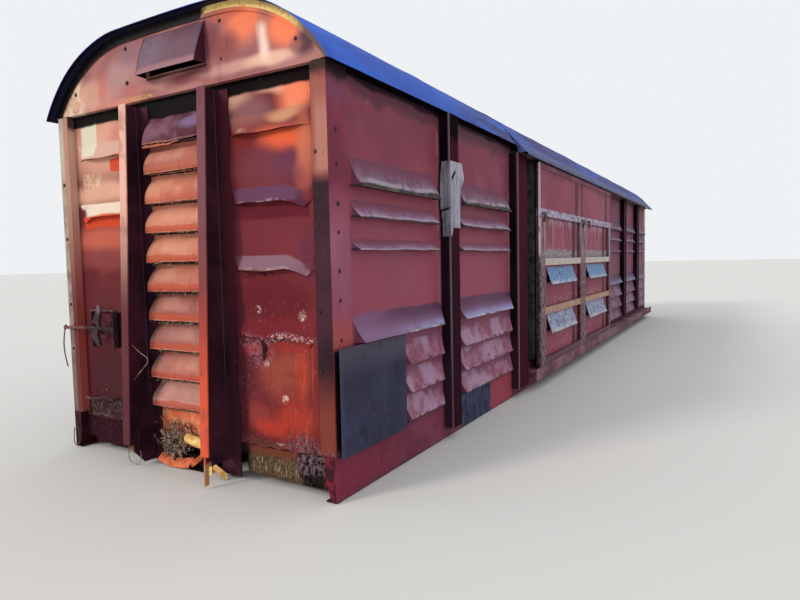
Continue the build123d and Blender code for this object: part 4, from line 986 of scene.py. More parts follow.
def door_frame_paint():
    """Stiles, bars and rails of a door leaf: peeling white top bar, cream bar, rusty foot."""
    r = Recipe("door_frame_paint")
    r.colour = r.mottle((112, 58, 76), (138, 80, 100), 0.38, 0.62, 2.0, 4, 0.6)
    pale_zone = r.band(r.z, 1.62, 2.16, 0.05)
    pale_runs = r.patches(0.42, 0.58, 14, 4, 0.6, stretch=(1, 1, 0.12))
    r.over((176, 166, 180), pale_zone, pale_runs, 0.7)
    rust_zone = r.ramp(r.frayed(r.z, 0.5, 3, 4, 0.6), 1.86, 1.60)
    rust_tone = r.mottle((58, 42, 50), (142, 110, 118), 0.44, 0.58, 34, 5, 0.8, stretch=(1, 1, 0.4))
    rust_tone = r.lay(rust_tone, (108, 60, 72), r.patches(0.5, 0.6, 6, 4, 0.7), 0.6)
    r.over(rust_tone, rust_zone, 0.85)
    first = r.band(r.z, *TOP_BAR, 0.004)
    peel = r.patches(0.36, 0.56, 13, 5, 0.75, stretch=(0.4, 1, 1))
    pale_tone = r.mottle((160, 148, 170), (192, 186, 206), 0.42, 0.6, 30, 4, 0.7)
    first_tone = r.blend(peel, (128, 100, 120), pale_tone)
    r.over(first_tone, first)
    stain = r.patches(0.48, 0.62, 40, 4, 0.75, stretch=(1, 1, 0.4))
    second = r.band(r.z, *MIDDLE_BAR, 0.004)
    r.over(r.lay((200, 188, 178), (150, 138, 142), stain, 0.6), second, 0.95)
    third = r.band(r.z, *LOW_BAR, 0.004)
    r.over(r.lay((186, 150, 126), (122, 92, 92), stain, 0.7), third, 0.95)
    foot = r.times(r.ramp(r.z, 0.36, 0.34), r.patches(0.38, 0.5, 18, 5, 0.75))
    r.over((104, 74, 84), foot)
    # the stiles run rusty past the two lower bars
    uprights = ((-3.05, DOOR_FROM + 0.196), (DOOR_FROM + 2.079, DOOR_FROM + 2.40),
                (DOOR_FROM + 4.28, 1.6))
    stiles = r.most(*(r.band(r.along, start, end, 0.004) for start, end in uprights))
    stile_tone = r.mottle((64, 42, 52), (158, 134, 138), 0.45, 0.57, 30, 6, 0.85,
                          stretch=(1, 1, 0.5))
    r.over(stile_tone, stiles, r.ramp(r.z, 1.66, 1.60), 0.85)
    # painted shade on the faces set back behind the frame's front
    inside = r.ramp(r.off_side, 0.160, 0.150)
    r.darken(inside, 0.7)
    lead = r.times(r.ramp(r.along, DOOR_FROM + 0.004, DOOR_FROM + 0.001),
                   r.ramp(r.off_side, 0.146, 0.150))
    lead = r.times(lead, r.ramp(r.z, 1.60, 1.72), r.patches(0.30, 0.44, 5, 4, 0.7))
    r.over((250, 226, 240), lead, 0.95)
    rust = rust_over(r, 0.0, 9)
    relief = sheet_relief(r, r.most(rust, peel))
    return r.finish(0.72, relief, 0.0018, specular=0.12)


def board_paint():
    """Bare data board: faded blue-black with washed patches and a chipped edge."""
    r = Recipe("data_board_paint")
    cloud = r.rough(3.2, 5, 0.65, stretch=(1, 1, 0.7))
    r.colour = r.blend(r.ramp(cloud, 0.36, 0.62), (44, 44, 62), tone("board_black"))
    r.over((78, 72, 88), r.ramp(r.z, 0.80, 0.98), 0.75)
    wash = r.rough(9, 5, 0.75, stretch=(1, 1, 0.4))
    r.over((66, 76, 112), r.ramp(wash, 0.52, 0.66), r.ramp(r.z, 0.85, 0.5), 0.35)
    edge = r.times(r.ramp(r.along, -6.985, -7.0), 0.5)
    r.over((66, 68, 92), edge)
    grime = r.patches(0.54, 0.66, 5, 5, 0.7, shift=(0, 0, 6))
    r.over((34, 30, 44), grime, 0.5)
    speck = r.patches(0.70, 0.76, 85, 3, 0.7)
    r.over((118, 122, 146), speck, 0.4)
    relief = r.plus(r.rough(60, 3, 0.6), r.times(cloud, 0.4))
    return r.finish(0.6, relief, 0.0008, specular=0.12)


def plate_paint():
    """Folded plate on the first post: grey-white, grained downward like old board."""
    r = Recipe("post_plate_paint")
    grain = r.rough(44, 5, 0.7, stretch=(1, 1, 0.06))
    fine = r.patches(0.50, 0.60, 80, 4, 0.75, stretch=(1, 1, 0.3))
    face = r.ramp(r.off_side, 0.104, 0.109)
    r.colour = r.blend(r.ramp(grain, 0.36, 0.60), (88, 86, 98), (134, 132, 140))
    bright = r.blend(r.ramp(grain, 0.38, 0.60), (124, 122, 138), (172, 170, 182))
    r.over(bright, face)
    r.over((84, 80, 92), fine, 0.45)
    upper = r.times(r.ramp(r.z, 2.30, 2.42), face)
    r.over((184, 176, 192), upper, 0.5)
    # two holes torn slantwise
    slant = r.plus(r.z, r.times(r.along, -0.9))
    first = r.times(r.band(slant, 7.150, 7.190, 0.006), r.band(r.along, -5.37, -5.28, 0.008), face)
    second = r.times(r.band(slant, 6.925, 6.950, 0.005), r.band(r.along, -5.47, -5.39, 0.008))
    r.over((24, 18, 26), r.most(first, second))
    return r.finish(0.75, grain, 0.002, specular=0.1)


def headstock_paint():
    """Headstock plates: olive and crusty on the right of an end, dark elsewhere."""
    r = Recipe("headstock_paint")
    fine = r.patches(0.44, 0.58, 40, 6, 0.8)
    r.colour = r.blend(fine, (16, 9, 12), (50, 38, 38))
    flecked = r.times(r.patches(0.54, 0.64, 60, 4, 0.7, stretch=(1, 1, 0.2)),
                      r.band(r.z, 0.09, 0.20, 0.02))
    olive = r.lay(r.blend(fine, (74, 54, 42), (108, 88, 68)), (184, 162, 134), flecked, 0.8)
    olive = r.lay(olive, (122, 62, 46), r.ramp(r.warped(r.z, 9, 0.03, (7, 1, 1)), 0.19, 0.25), 0.85)
    stretch = r.times(r.ramp(r.across, 0.60, 0.64),
                      r.ramp(r.warped(r.across, 9, 0.05, (1, 1, 1)), 1.14, 1.08))
    r.over(olive, stretch, 0.95)
    lumps = r.patches(0.46, 0.56, 34, 6, 0.8)
    crust = r.blend(lumps, (30, 20, 25), (126, 102, 110))
    tip = r.times(r.ramp(r.across, 1.04, 1.12),
                  r.ramp(r.warped(r.z, 9, 0.06, (4, 1, 1)), 0.10, 0.17))
    r.over(crust, tip, 0.9)
    corner = r.times(r.ramp(r.across, 1.30, 1.33), r.patches(0.42, 0.56, 20, 4, 0.7))
    r.over((100, 26, 36), corner, 0.9)
    left = r.ramp(r.across, -0.5, -0.6)
    r.over(r.blend(fine, (44, 20, 30), (72, 30, 42)), left, 0.85)
    return r.finish(0.9, fine, 0.003, specular=0.04)


def soffit_paint():
    """Cant rails under the eave: near-black, painted shade of the eave."""
    r = Recipe("soffit_paint")
    fine = r.patches(0.5, 0.64, 22, 5, 0.75)
    r.colour = r.blend(fine, (7, 2, 6), (38, 22, 32))
    inside = r.ramp(r.off_side, -0.02, -0.03)
    r.over((96, 84, 78), inside, 0.8)
    return r.finish(0.9, fine, 0.001, specular=0.03)


def gear_paint():
    """Hand brake gear: maroon back plate, crusted dark lever, paler rods."""
    r = Recipe("brake_gear_paint")
    fine = r.patches(0.46, 0.58, 70, 5, 0.8)
    r.colour = r.blend(fine, (48, 34, 40), (98, 76, 74))
    plate = r.ramp(r.off_end, 0.016, 0.012)
    plate_tone = r.mottle((78, 34, 46), (112, 52, 62), 0.42, 0.6, 14, 4, 0.7)
    r.over(plate_tone, plate)
    far_rod = r.ramp(r.abs_y, 1.19, 1.21)
    r.over(r.blend(fine, (112, 66, 66), (150, 108, 100)), far_rod, 0.8)
    top = r.ramp(r.z, 1.235, 1.245)
    r.over((124, 98, 104), top, 0.8)
    return r.finish(0.85, fine, 0.002, specular=0.1)


def guide_rail_paint():
    """Rails that guide the doors: mauve-brown, dusty, rusting in streaks."""
    r = Recipe("guide_rail_paint")
    slow = r.patches(0.40, 0.62, 3.2, 5, 0.7, stretch=(0.5, 1, 1))
    r.colour = r.blend(slow, (106, 70, 80), (146, 108, 118))
    fine = r.patches(0.50, 0.62, 40, 5, 0.75, stretch=(0.5, 1, 1))
    r.over((62, 38, 44), fine, 0.45)
    r.over((134, 66, 72), r.patches(0.56, 0.66, 5, 4, 0.7, shift=(2, 0, 0)), 0.5)
    return r.finish(0.8, fine, 0.002, specular=0.1)


def rusty_iron(name, light, dark, depth):
    """Bare iron, rusted all over."""
    r = Recipe(name)
    field = r.rough(11, 6, 0.7, twist=0.3)
    fine = r.rough(90, 4, 0.7)
    r.colour = r.blend(r.ramp(field, 0.38, 0.62), dark, light)
    r.over((150, 104, 78), r.ramp(fine, 0.58, 0.7), 0.5)
    relief = r.plus(r.times(field, 0.6), r.times(fine, 0.5))
    return r.finish(0.85, relief, depth)


def floor_board_wood():
    """Worn floor boards, grained along the van."""
    r = Recipe("floor_board_wood")
    plank = r.math("FLOOR", r.math("DIVIDE", r.y, PLANK_WIDTH))
    grain = r.rough(22, 5, 0.6, stretch=(0.06, 1, 1), twist=0.6)
    # a different tint for each plank, from its number
    tint = r.math("FRACT", r.times(r.math("SINE", r.times(plank, 12.99)), 437.5))
    r.colour = r.blend(r.ramp(grain, 0.36, 0.64), (82, 62, 46), (140, 114, 84))
    r.over((104, 92, 78), tint, 0.35)
    worn = r.patches(0.5, 0.68, 1.4, 4, 0.6)
    r.over((150, 134, 112), worn, 0.5)
    return r.finish(0.8, grain, 0.0015)


def inner_steel():
    """Dull cream-grey paint of the hoops and the inside rail."""
    r = Recipe("inner_steel_paint")
    r.colour = r.mottle((92, 78, 72), (134, 120, 108), 0.4, 0.62, 2.2, 4, 0.6)
    rust = rust_over(r, 0.6, 6)
    return r.finish(0.75, sheet_relief(r, rust), 0.0014)


def dry_stalk():
    """Dry grass and twigs."""
    r = Recipe("dry_stalk")
    tint = r.rough(30, 3, 0.6)
    r.colour = r.blend(r.ramp(tint, 0.45, 0.56), (34, 22, 24), (204, 176, 150))
    return r.finish(0.9, tint, 0.0006)


def stage_floor():
    r = Recipe("stage_floor")
    tint = r.rough(0.35, 2, 0.5)
    r.colour = r.lay(tone("floor_shade"), (196, 194, 190), tint, 0.10)
    return r.finish(0.9, r.rough(18, 4, 0.6), 0.002, specular=0.15)


# Mesh helpers


def new_object(name, mesh):
    piece = bpy.data.objects.new(name, mesh)
    bpy.context.scene.collection.objects.link(piece)
    return piece


def finished_mesh(piece):
    """The mesh that an object's curve or modifiers make."""
    graph = bpy.context.evaluated_depsgraph_get()
    return bpy.data.meshes.new_from_object(piece.evaluated_get(graph))


def clothe(piece, material):
    """One material over the whole piece."""
    piece.data.materials.clear()
    piece.data.materials.append(material)
    for face in piece.data.polygons:
        face.material_index = 0
    return piece


def soften(mesh, angle):
    """Smooth shading, with edges sharper than the angle kept crisp."""
    shape = bmesh.new()
    shape.from_mesh(mesh)
    for edge in shape.edges:
        edge.smooth = edge.calc_face_angle(math.pi) < angle
    for face in shape.faces:
        face.smooth = True
    shape.to_mesh(mesh)
    shape.free()


def worn_copy(node, name, grid, shift, crisp):
    """A copy of a CAD node, cut along planes so that it can bend, and bent by shift.

    grid lists (axis, from, to, step). shift takes a point and gives its new place.
    """
    shape = bmesh.new()
    shape.from_mesh(nodes[node].data)
    bmesh.ops.remove_doubles(shape, verts=shape.verts, dist=2e-5)
    bmesh.ops.dissolve_limit(shape, angle_limit=0.004, verts=shape.verts, edges=shape.edges)
    for axis, start, end, step in grid:
        normal = Vector((0, 0, 0))
        normal[axis] = 1
        count = max(1, round((end - start) / step))
        for i in range(1, count):
            place = Vector((0, 0, 0))
            place[axis] = start + (end - start) * i / count
            everything = shape.verts[:] + shape.edges[:] + shape.faces[:]
            bmesh.ops.bisect_plane(shape, geom=everything, dist=1e-5, plane_co=place,
                                   plane_no=normal)
    bmesh.ops.triangulate(shape, faces=shape.faces[:], quad_method="BEAUTY", ngon_method="BEAUTY")
    if shift is not None:
        for vertex in shape.verts:
            vertex.co = shift(vertex.co)
    bmesh.ops.recalc_face_normals(shape, faces=shape.faces[:])
    mesh = bpy.data.meshes.new(name)
    shape.to_mesh(mesh)
    shape.free()
    soften(mesh, crisp)
    return new_object(name, mesh)


def dress(node, name, paint, grid, shift=None, crisp=0.45):
    """A bent and painted copy takes the place of a node of the van's body."""
    piece = clothe(worn_copy(node, name, grid, shift, crisp), paint)
    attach(piece, "van_body")
    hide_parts(node)


def wobble(place, scale, seed):
    """Smooth noise from -1 to 1."""
    return noise.noise(Vector(place) * scale + Vector((seed, seed * 0.7, -seed)))


def fade(value, low, high):
    """0 to 1 between two values, smooth."""
    t = min(1.0, max(0.0, (value - low) / (high - low)))
    return t * t * (3 - 2 * t)


def half_turn(point, side):
    """The point turned half a turn about Z for the far side or far end."""
    return point if side == "near" else Vector((-point.x, -point.y, point.z))


def side_shift(start, end, seed, wave):
    """Bend of a side sheet between two posts: slow bowing and a few knocks."""
    middle, half = (start + end) / 2, (end - start) / 2
    knocks = random.Random(seed)
    marks = [
        (knocks.uniform(start + 0.3, end - 0.3), knocks.uniform(0.45, 2.6),
         knocks.uniform(0.10, 0.22), knocks.uniform(-0.009, 0.006))
        for _ in range(7)
    ]

    def shift(point, side):
        here = half_turn(point, side)
        reach = fade(half - abs(here.x - middle), 0.02, 0.22) * fade(here.z, SILL_TOP, 0.42)
        reach *= fade(SIDE_TOP - here.z, 0.0, 0.14)
        at = (here.x, 0, here.z)
        bow = wave * (wobble(at, 1.3, seed) + 0.6 * wobble(at, 3.1, seed + 9))
        off = -SIDE_SHEET - here.y
        if off > 0.02:
            bow += 0.7 * wave * wobble((here.x * 2.5, 0, here.z * 1.2), 2.4, seed + 3)
        for x, z, radius, depth in marks:
            far = math.hypot(here.x - x, here.z - z)
            if far < radius:
                bow += depth * (1 - fade(far, 0, radius))
        bow = min(bow, 0.012)
        lift = 0.5 * wave * wobble((here.x * 1.3, 4, here.z), 2.2, seed) * fade(off, 0.01, 0.03)
        moved = Vector((here.x, here.y - bow * reach, here.z + lift * reach))
        return half_turn(moved, side)

    return shift


class VAN_OT_side_sheets(bpy.types.Operator):
    """Side sheets with bowed panels and uneven louvre lips"""

    bl_idname = "van.side_sheets"
    bl_label = "Side sheets"

    def execute(self, context):
        paint = side_sheet_paint()
        step = sizes().sheet_step
        for side in ("near", "far"):
            for number, (start, end) in enumerate(SIDE_BAYS, start=1):
                seed = number * 13 + (0 if side == "near" else 57)
                bend = side_shift(start, end, seed, sizes().sheet_wave)
                x0, x1 = (start, end) if side == "near" else (-end, -start)
                grid = ((0, x0, x1, step * 1.3), (2, SILL_TOP, SIDE_TOP, step))
                place = "%s_%d" % (side, number)
                dress("side_bay_" + place, "side_sheet_" + place, paint, grid,
                      lambda point: bend(point, side))
        return {"FINISHED"}


# Dents of the near end: y, z, radius, depth outward, in metres
END_DENTS = (
    (-0.95, 2.62, 0.22, -0.020), (-1.15, 2.30, 0.16, 0.014), (-0.80, 2.20, 0.13, -0.014),
    (-1.10, 1.85, 0.20, -0.018), (-0.85, 1.45, 0.18, 0.014), (-1.16, 1.30, 0.14, -0.018),
    (-0.86, 0.98, 0.12, -0.030), (-1.10, 0.90, 0.20, 0.020), (-0.95, 0.66, 0.16, 0.018),
    (-1.18, 0.58, 0.13, -0.020), (0.90, 2.30, 0.20, -0.014), (1.05, 1.75, 0.22, 0.012),
    (0.80, 0.75, 0.20, -0.016), (1.15, 0.60, 0.14, 0.012), (-0.80, 1.02, 0.10, -0.030),
    (-0.70, 2.66, 0.16, 0.012), (-1.16, 2.66, 0.14, 0.012), (-0.92, 0.36, 0.14, -0.014),
)


def end_shift(seed, wave, dents, ragged):
    """Bend of the end sheets, with dents and a rusted, uneven foot."""
    def shift(point, side):
        here = half_turn(point, side)
        off = -END_SHEET - here.x
        edge = fade(1.34 - abs(here.y), 0.0, 0.09) * fade(END_TOP - here.z, 0.0, 0.12)
        at = (0, here.y, here.z)
        bow = wave * (wobble(at, 2.2, seed) + 0.55 * wobble(at, 5.5, seed + 4))
        for y, z, radius, depth in dents:
            far = math.hypot(here.y - y, here.z - z)
            if far < radius:
                bow += depth * (1 - fade(far, 0, radius))
        droop = 0.0
        if off > 0.015:
            droop = 0.010 * wobble((0, here.y * 3.2, here.z), 1.7, seed + 2)
            droop *= fade(off, 0.015, 0.045)
            bow += 0.006 * wobble((0, here.y * 4, here.z * 2), 2.0, seed + 6)
        rise = 0.0
        if ragged > 0 and here.z < 0.33:
            teeth = 0.5 + 0.5 * wobble((0, here.y * 6, 0), 2.3, seed + 8)
            teeth += 0.4 * wobble((0, here.y * 25, 0), 2, seed)
            rise = ragged * max(0.0, teeth) * fade(0.33 - here.z, 0.0, 0.06)
        # pressed ledges die out toward the corner and sag there
        run = abs(here.y)
        if off > 0.008 and here.z > 0.5:
            share = fade(off, 0.008, 0.045)
            taper = (1 - fade(run, 0.60, 0.68)) * 0.3 + fade(run, 1.02, 1.27) * 0.85
            bow -= (off - 0.004) * taper
            sag = -0.055 if here.z < 2.3 else 0.010
            droop += sag * fade(run, 1.06, 1.28) * share
            if dents and here.y < 0 and abs(here.z - 1.14) < 0.10:
                droop += 0.022 * wobble((0, here.y * 9, 0), 2.0, seed + 11) * share
                bow += 0.020 * wobble((0, here.y * 12, here.z * 6), 1.5, seed + 12) * share
        moved = Vector((here.x - bow * edge, here.y, here.z + droop * edge + rise))
        return half_turn(moved, side)

    return shift


class VAN_OT_end_sheets(bpy.types.Operator):
    """End sheets with dents, sagging ledges and a rusted foot"""

    bl_idname = "van.end_sheets"
    bl_label = "End sheets"

    def execute(self, context):
        paint = end_sheet_paint()
        step = sizes().sheet_step * 0.55
        for side, dents, ragged in (("near", END_DENTS, 0.035), ("far", (), 0.0)):
            bend = end_shift(21 if side == "near" else 77, sizes().end_wave * 0.55, dents, ragged)
            grid = ((1, -1.36, 1.36, step), (2, 0.27, END_TOP, step))
            dress("end_panels_" + side, "end_sheets_" + side, paint, grid,
                  lambda point: bend(point, side))
        return {"FINISHED"}


def column_shift(seed, wave, battered):
    """Bend of the louvre column: bulging louvres whose lips sag and have been knocked in."""
    def shift(point, side):
        here = half_turn(point, side)
        off = -END_SHEET - here.x
        row = max(0, math.ceil((COLUMN_TOP - here.z) / COLUMN_PITCH - 0.002))
        t = (here.z - (COLUMN_TOP - COLUMN_PITCH * row)) / COLUMN_LOUVRE
        bow = 0.3 * wave * wobble((0, here.y, here.z), 3.0, seed)
        drop = 0.0
        if off > 0.004:
            if 0 <= t < 1:
                # a full belly instead of a flat slope
                bow += off * (min((1 - t ** 2.2) / (1.02 - t), 2.0) - 1) * 0.92
            share = fade(off, 0.004, 0.06)
            bow += share * wave * (0.8 * wobble((0, here.y * 2.0, row * 7.1), 1.6, seed)
                                   + 0.4 * wobble((0, here.y * 7.0, row * 3.3), 1.6, seed + 5))
            low_share = share * (1 - fade(t, 0.3, 1.0))
            drop = low_share * wave * (0.8 * wobble((0, here.y * 2.6, row * 5.7), 1.6, seed + 3)
                                       + 0.3 * wobble((0, here.y * 11.0, row * 2.9), 1.6, seed + 7))
            if battered and row < 1:
                knock = 1 - fade(math.hypot(here.y - 0.05, here.z - 2.66), 0, 0.16)
                bow -= 0.030 * knock * share
                drop += low_share * 0.030 * math.sin((here.y + 0.20) * -3.6)
        # the lips reach further left low down
        reach = 0.0
        if here.y > 0.05 and off > 0.014:
            reach = 0.006 + 0.022 * fade(2.6 - here.z, 0.0, 1.9)
            reach *= fade(here.y, 0.05, 0.32) * fade(off, 0.014, 0.06)
            reach += 0.016 * fade(here.y, 0.20, 0.33) * (1 - fade(t, 0.0, 0.7))
        moved = Vector((here.x - bow, here.y + reach, here.z + drop))
        return half_turn(moved, side)

    return shift


class VAN_OT_louvre_column(bpy.types.Operator):
    """Louvre column between the stanchions, its lips bent and sagging"""

    bl_idname = "van.louvre_column"
    bl_label = "Louvre column"

    def execute(self, context):
        paint = column_paint()
        step = sizes().sheet_step * 0.5
        for side in ("near", "far"):
            bend = column_shift(5 if side == "near" else 31, sizes().end_wave, side == "near")
            grid = ((1, -0.44, 0.44, step), (2, 0.17, END_TOP, step))
            dress("end_louvres_" + side, "louvre_column_" + side, paint, grid,
                  lambda point: bend(point, side))
        return {"FINISHED"}


class VAN_OT_arch_plates(bpy.types.Operator):
    """Arched end plates with their rim angle and vent hood"""

    bl_idname = "van.arch_plates"
    bl_label = "Arch plates"

    def execute(self, context):
        paint = arch_paint()
        for side in ("near", "far"):
            seed = 41 if side == "near" else 63

            def bend(point):
                here = half_turn(point, side)
                from_rim = 3.44 - here.z if abs(here.y) < 0.6 else 0.0
                reach = fade(here.z - 2.965, 0.0, 0.12) * fade(from_rim, 0.0, 0.15)
                bow = 0.010 * wobble((0, here.y, here.z), 2.3, seed)
                ragged = 0.0
                if here.x < -7.07 and here.z < 3.03:
                    ragged = 0.012 * wobble((0, here.y * 9, 0), 2, seed)
                moved = Vector((here.x - bow * reach, here.y, here.z + ragged))
                return half_turn(moved, side)

            grid = ((1, -1.5, 1.5, 0.1), (2, END_TOP, 3.5, 0.07))
            dress("arch_plate_" + side, "arch_dressed_" + side, paint, grid, bend)
        return {"FINISHED"}


class VAN_OT_roof(bpy.types.Operator):
    """Roof sheet and door hoods, smooth round their shoulders"""

    bl_idname = "van.roof"
    bl_label = "Roof"

    def execute(self, context):
        paint = roof_paint()

        def bend(point):
            lift = 0.004 * wobble((point.x * 0.8, point.y, point.z), 1.6, 7)
            lift += 0.003 * wobble((point.x, point.y * 0.5, point.z), 4.5, 17)
            edge = fade(2.96 - point.z, 0.0, 0.03)
            side = 0.006 * wobble((point.x * 3.0, 0, 0), 2.0, 27) * edge
            out = math.copysign(1.0, point.y) if abs(point.y) > 1e-4 else 0.0
            rise = lift * fade(point.z, 2.93, 3.2)
            return Vector((point.x, point.y + out * side, point.z + rise))

        grid = ((0, -7.115, 7.115, 0.16),)
        dress("roof_sheet", "roof_skin", paint, grid, bend, crisp=0.30)
        grid = ((0, -END_FACE, END_FACE, 0.16),)
        for side in ("near", "far"):
            dress("door_hood_" + side, "hood_skin_" + side, paint, grid, crisp=0.30)
        return {"FINISHED"}


def stanchion_bend(point):
    """Wavy torn edges of the stanchions' base plates, and a slight sway of their webs."""
    run = abs(point.y) - STANCHION_MIDDLE
    side = math.copysign(1.0, point.y)
    ragged = 0.0
    if point.x > -7.03 and run > 0.08:
        ragged = 0.022 * wobble((0, 0, point.z * 1.4), 2.6, 4)
        ragged += 0.008 * wobble((0, 0, point.z), 9.0, 6)
    sway = 0.004 * wobble((0, side * 3, point.z), 1.2, 9) * fade(-7.03 - point.x, 0.0, 0.06)
    return Vector((point.x, point.y + side * (ragged + sway), point.z))


def gear_bend(point):
    """Shallow plate, swollen lever, thin tail wire and crooked rod of the brake gear."""
    x, y, z = point
    # the grab rod low down, bent in a wave
    if z < 0.60:
        wave = 0.016 * math.sin((y - 0.80) * 17) * fade(-6.995 - x, 0.0, 0.02)
        return Vector((x, y + 0.10, z - 0.02 + wave))
    on_shaft = math.hypot(x - BRAKE_X, z - BRAKE_Z) < 0.0155
    # the tail at the shaft's outer end, thinned to a wire
    if y > 1.45 and not on_shaft:
        sway = 0.045 * math.sin(math.pi * (z - 0.78) / 0.384) - 0.04
        thin = 0.35
        return Vector((BRAKE_X + (x - BRAKE_X) * thin, 1.52 + (y - 1.52) * thin + sway, z - 0.045))
    if on_shaft:
        drop = 0.045 + 0.012 * fade(y, 1.0, 1.5)
        return Vector((x, max(y, 0.97) - 0.035 * fade(y, 1.4, 1.5), z - drop))
    # the lever, swollen in the middle
    if 0.71 < y < 0.755 and abs(x - BRAKE_X) < 0.02:
        share = (z - 1.01) / 0.29
        belly = math.sin(math.pi * min(1.0, max(0.0, share)) ** 0.8)
        sway = 0.04 * math.sin(5.4 * share - 0.4)
        moved_y = 1.0 + (y - 0.7325) * (1.4 + 2.2 * belly) + sway
        return Vector((x - 0.01, moved_y, 0.955 + share * 0.35))
    # the bracket, flattened to a shallow plate
    depth = -END_SHEET - x
    moved_x = -END_SHEET - depth * 0.3 if depth > 0.02 else x
    return Vector((moved_x, y + 0.29, 0.925 + (z - 0.985) * 0.95))


def plate_bend(point):
    """The folded plate has sprung off the post along both its edges."""
    x, y, z = point
    foot = fade(1.95 - z, 0.0, 0.1)
    if x > PLATE_FOLD + 0.02:
        share = fade(x, -5.30, -5.19)
        out = 0.085 * math.exp(-((z - 2.38) / 0.085) ** 2)
        out += 0.03 * fade(z, 2.42, 2.5) - 0.012 * fade(2.2 - z, 0.0, 0.3)
        return Vector((x + out * share, y - 0.004 * share, z + 0.065 * foot))
    out = 0.045 * math.sin(math.pi * min(1.0, max(0.0, (z - 1.95) / 0.55)))
    out += 0.008 * wobble((0, 0, z), 4.0, 3)
    return Vector((x - out * fade(y, -1.56, -1.49), y, z - 0.012 * foot))


class VAN_OT_end_iron(bpy.types.Operator):
    """Stanchions with torn base plates and the worn hand brake gear"""

    bl_idname = "van.end_iron"
    bl_label = "End iron"

    def execute(self, context):
        dress("end_stanchions", "stanchions_worn", stanchion_paint(),
              ((2, 0.02, 2.90, 0.045),), stanchion_bend)
        dress("post_wrap_plate", "post_plate_sprung", plate_paint(),
              ((2, 1.85, 2.50, 0.03), (0, -5.40, -5.18, 0.03)), plate_bend)
        dress("end_fittings", "brake_gear_worn", gear_paint(),
              ((2, 0.78, 1.33, 0.03), (1, 0.70, 1.24, 0.03)), gear_bend)
        return {"FINISHED"}


class VAN_OT_kept_steel(bpy.types.Operator):
    """Paint and rust on the CAD pieces that keep their shape"""

    bl_idname = "van.kept_steel"
    bl_label = "Kept steelwork"

    def execute(self, context):
        post = post_paint()
        sole = sole_bar_paint()
        corner = corner_paint()
        door_sheet = door_sheet_paint()
        door_frame = door_frame_paint()
        under = rusty_iron("underframe_rust", (84, 58, 50), (36, 27, 27), 0.003)
        gear = rusty_iron("gear_rust", (122, 78, 62), (52, 34, 34), 0.0015)
        inner = inner_steel()
        finishes = {
            "side_posts_near": post, "side_posts_far": post,
            "sole_bar_near": sole, "sole_bar_far": sole,
            "corner_posts": corner,
            "data_boards": board_paint(), "floor": floor_board_wood(),
            "roof_hoops": inner, "cant_rails": soffit_paint(),
            "headstocks": headstock_paint(),
            "centre_sill": under, "bolsters": under, "cross_bearers": under,
            "door_tracks": gear, "door_guide_rails": guide_rail_paint(),
        }
        for side in ("near", "far"):
            for leaf in ("a", "b"):
                finishes["door_panel_%s_%s" % (side, leaf)] = door_sheet
                finishes["door_frame_%s_%s" % (side, leaf)] = door_frame
        for node, material in finishes.items():
            if not nodes[node].hide_render:
                clothe(nodes[node], material)
        return {"FINISHED"}


# Fasteners and litter, by Geometry Nodes


def new_tree(name, inputs):
    """A tree that takes points, the named inputs and a finish, with its input node."""
    tree = bpy.data.node_groups.new(name, "GeometryNodeTree")
    inputs = (("Points", "Geometry"), *inputs, ("Finish", "Material"))
    for label, kind in inputs:
        tree.interface.new_socket(name=label, in_out="INPUT", socket_type="NodeSocket" + kind)
    tree.interface.new_socket(name="Made", in_out="OUTPUT", socket_type="NodeSocketGeometry")
    return tree, tree.nodes.new("NodeGroupInput")


def realized(tree, start, spread):
    """Ends a tree: its instances become mesh and take the finish."""
    solid = tree.nodes.new("GeometryNodeRealizeInstances")
    paint = tree.nodes.new("GeometryNodeSetMaterial")
    end = tree.nodes.new("NodeGroupOutput")
    for source, socket in (
        (spread.outputs[0], solid.inputs[0]), (solid.outputs[0], paint.inputs[0]),
        (start.outputs["Finish"], paint.inputs["Material"]), (paint.outputs[0], end.inputs[0]),
    ):
        tree.links.new(source, socket)
    return tree


def bolt_tree():
    """Geometry Nodes: a six-sided head with a washer on every point of the mesh."""
    tree, start = new_tree("bolts_on_points", (
        ("Head width", "Float"), ("Head height", "Float"), ("Turn", "Vector"),
    ))
    make = tree.nodes.new
    link = tree.links.new

    def disc(sides, width_share, height_share):
        cylinder = make("GeometryNodeMeshCylinder")
        cylinder.inputs["Vertices"].default_value = sides
        radius = math_node(tree, "MULTIPLY", start.outputs["Head width"], width_share)
        height = math_node(tree, "MULTIPLY", start.outputs["Head height"], height_share)
        link(radius, cylinder.inputs["Radius"])
        link(height, cylinder.inputs["Depth"])
        return cylinder.outputs["Mesh"]

    both = make("GeometryNodeJoinGeometry")
    link(disc(6, 0.5, 2.0), both.inputs[0])
    link(disc(12, 0.85, 0.7), both.inputs[0])
    spread = make("GeometryNodeInstanceOnPoints")
    link(start.outputs["Points"], spread.inputs["Points"])
    link(both.outputs[0], spread.inputs["Instance"])
    link(start.outputs["Turn"], spread.inputs["Rotation"])
    vary = make("FunctionNodeRandomValue")
    vary.data_type = "FLOAT"
    vary.inputs["Min"].default_value = 0.8
    vary.inputs["Max"].default_value = 1.15
    vary.inputs["Seed"].default_value = 4
    link(vary.outputs[1], spread.inputs["Scale"])
    return realized(tree, start, spread)


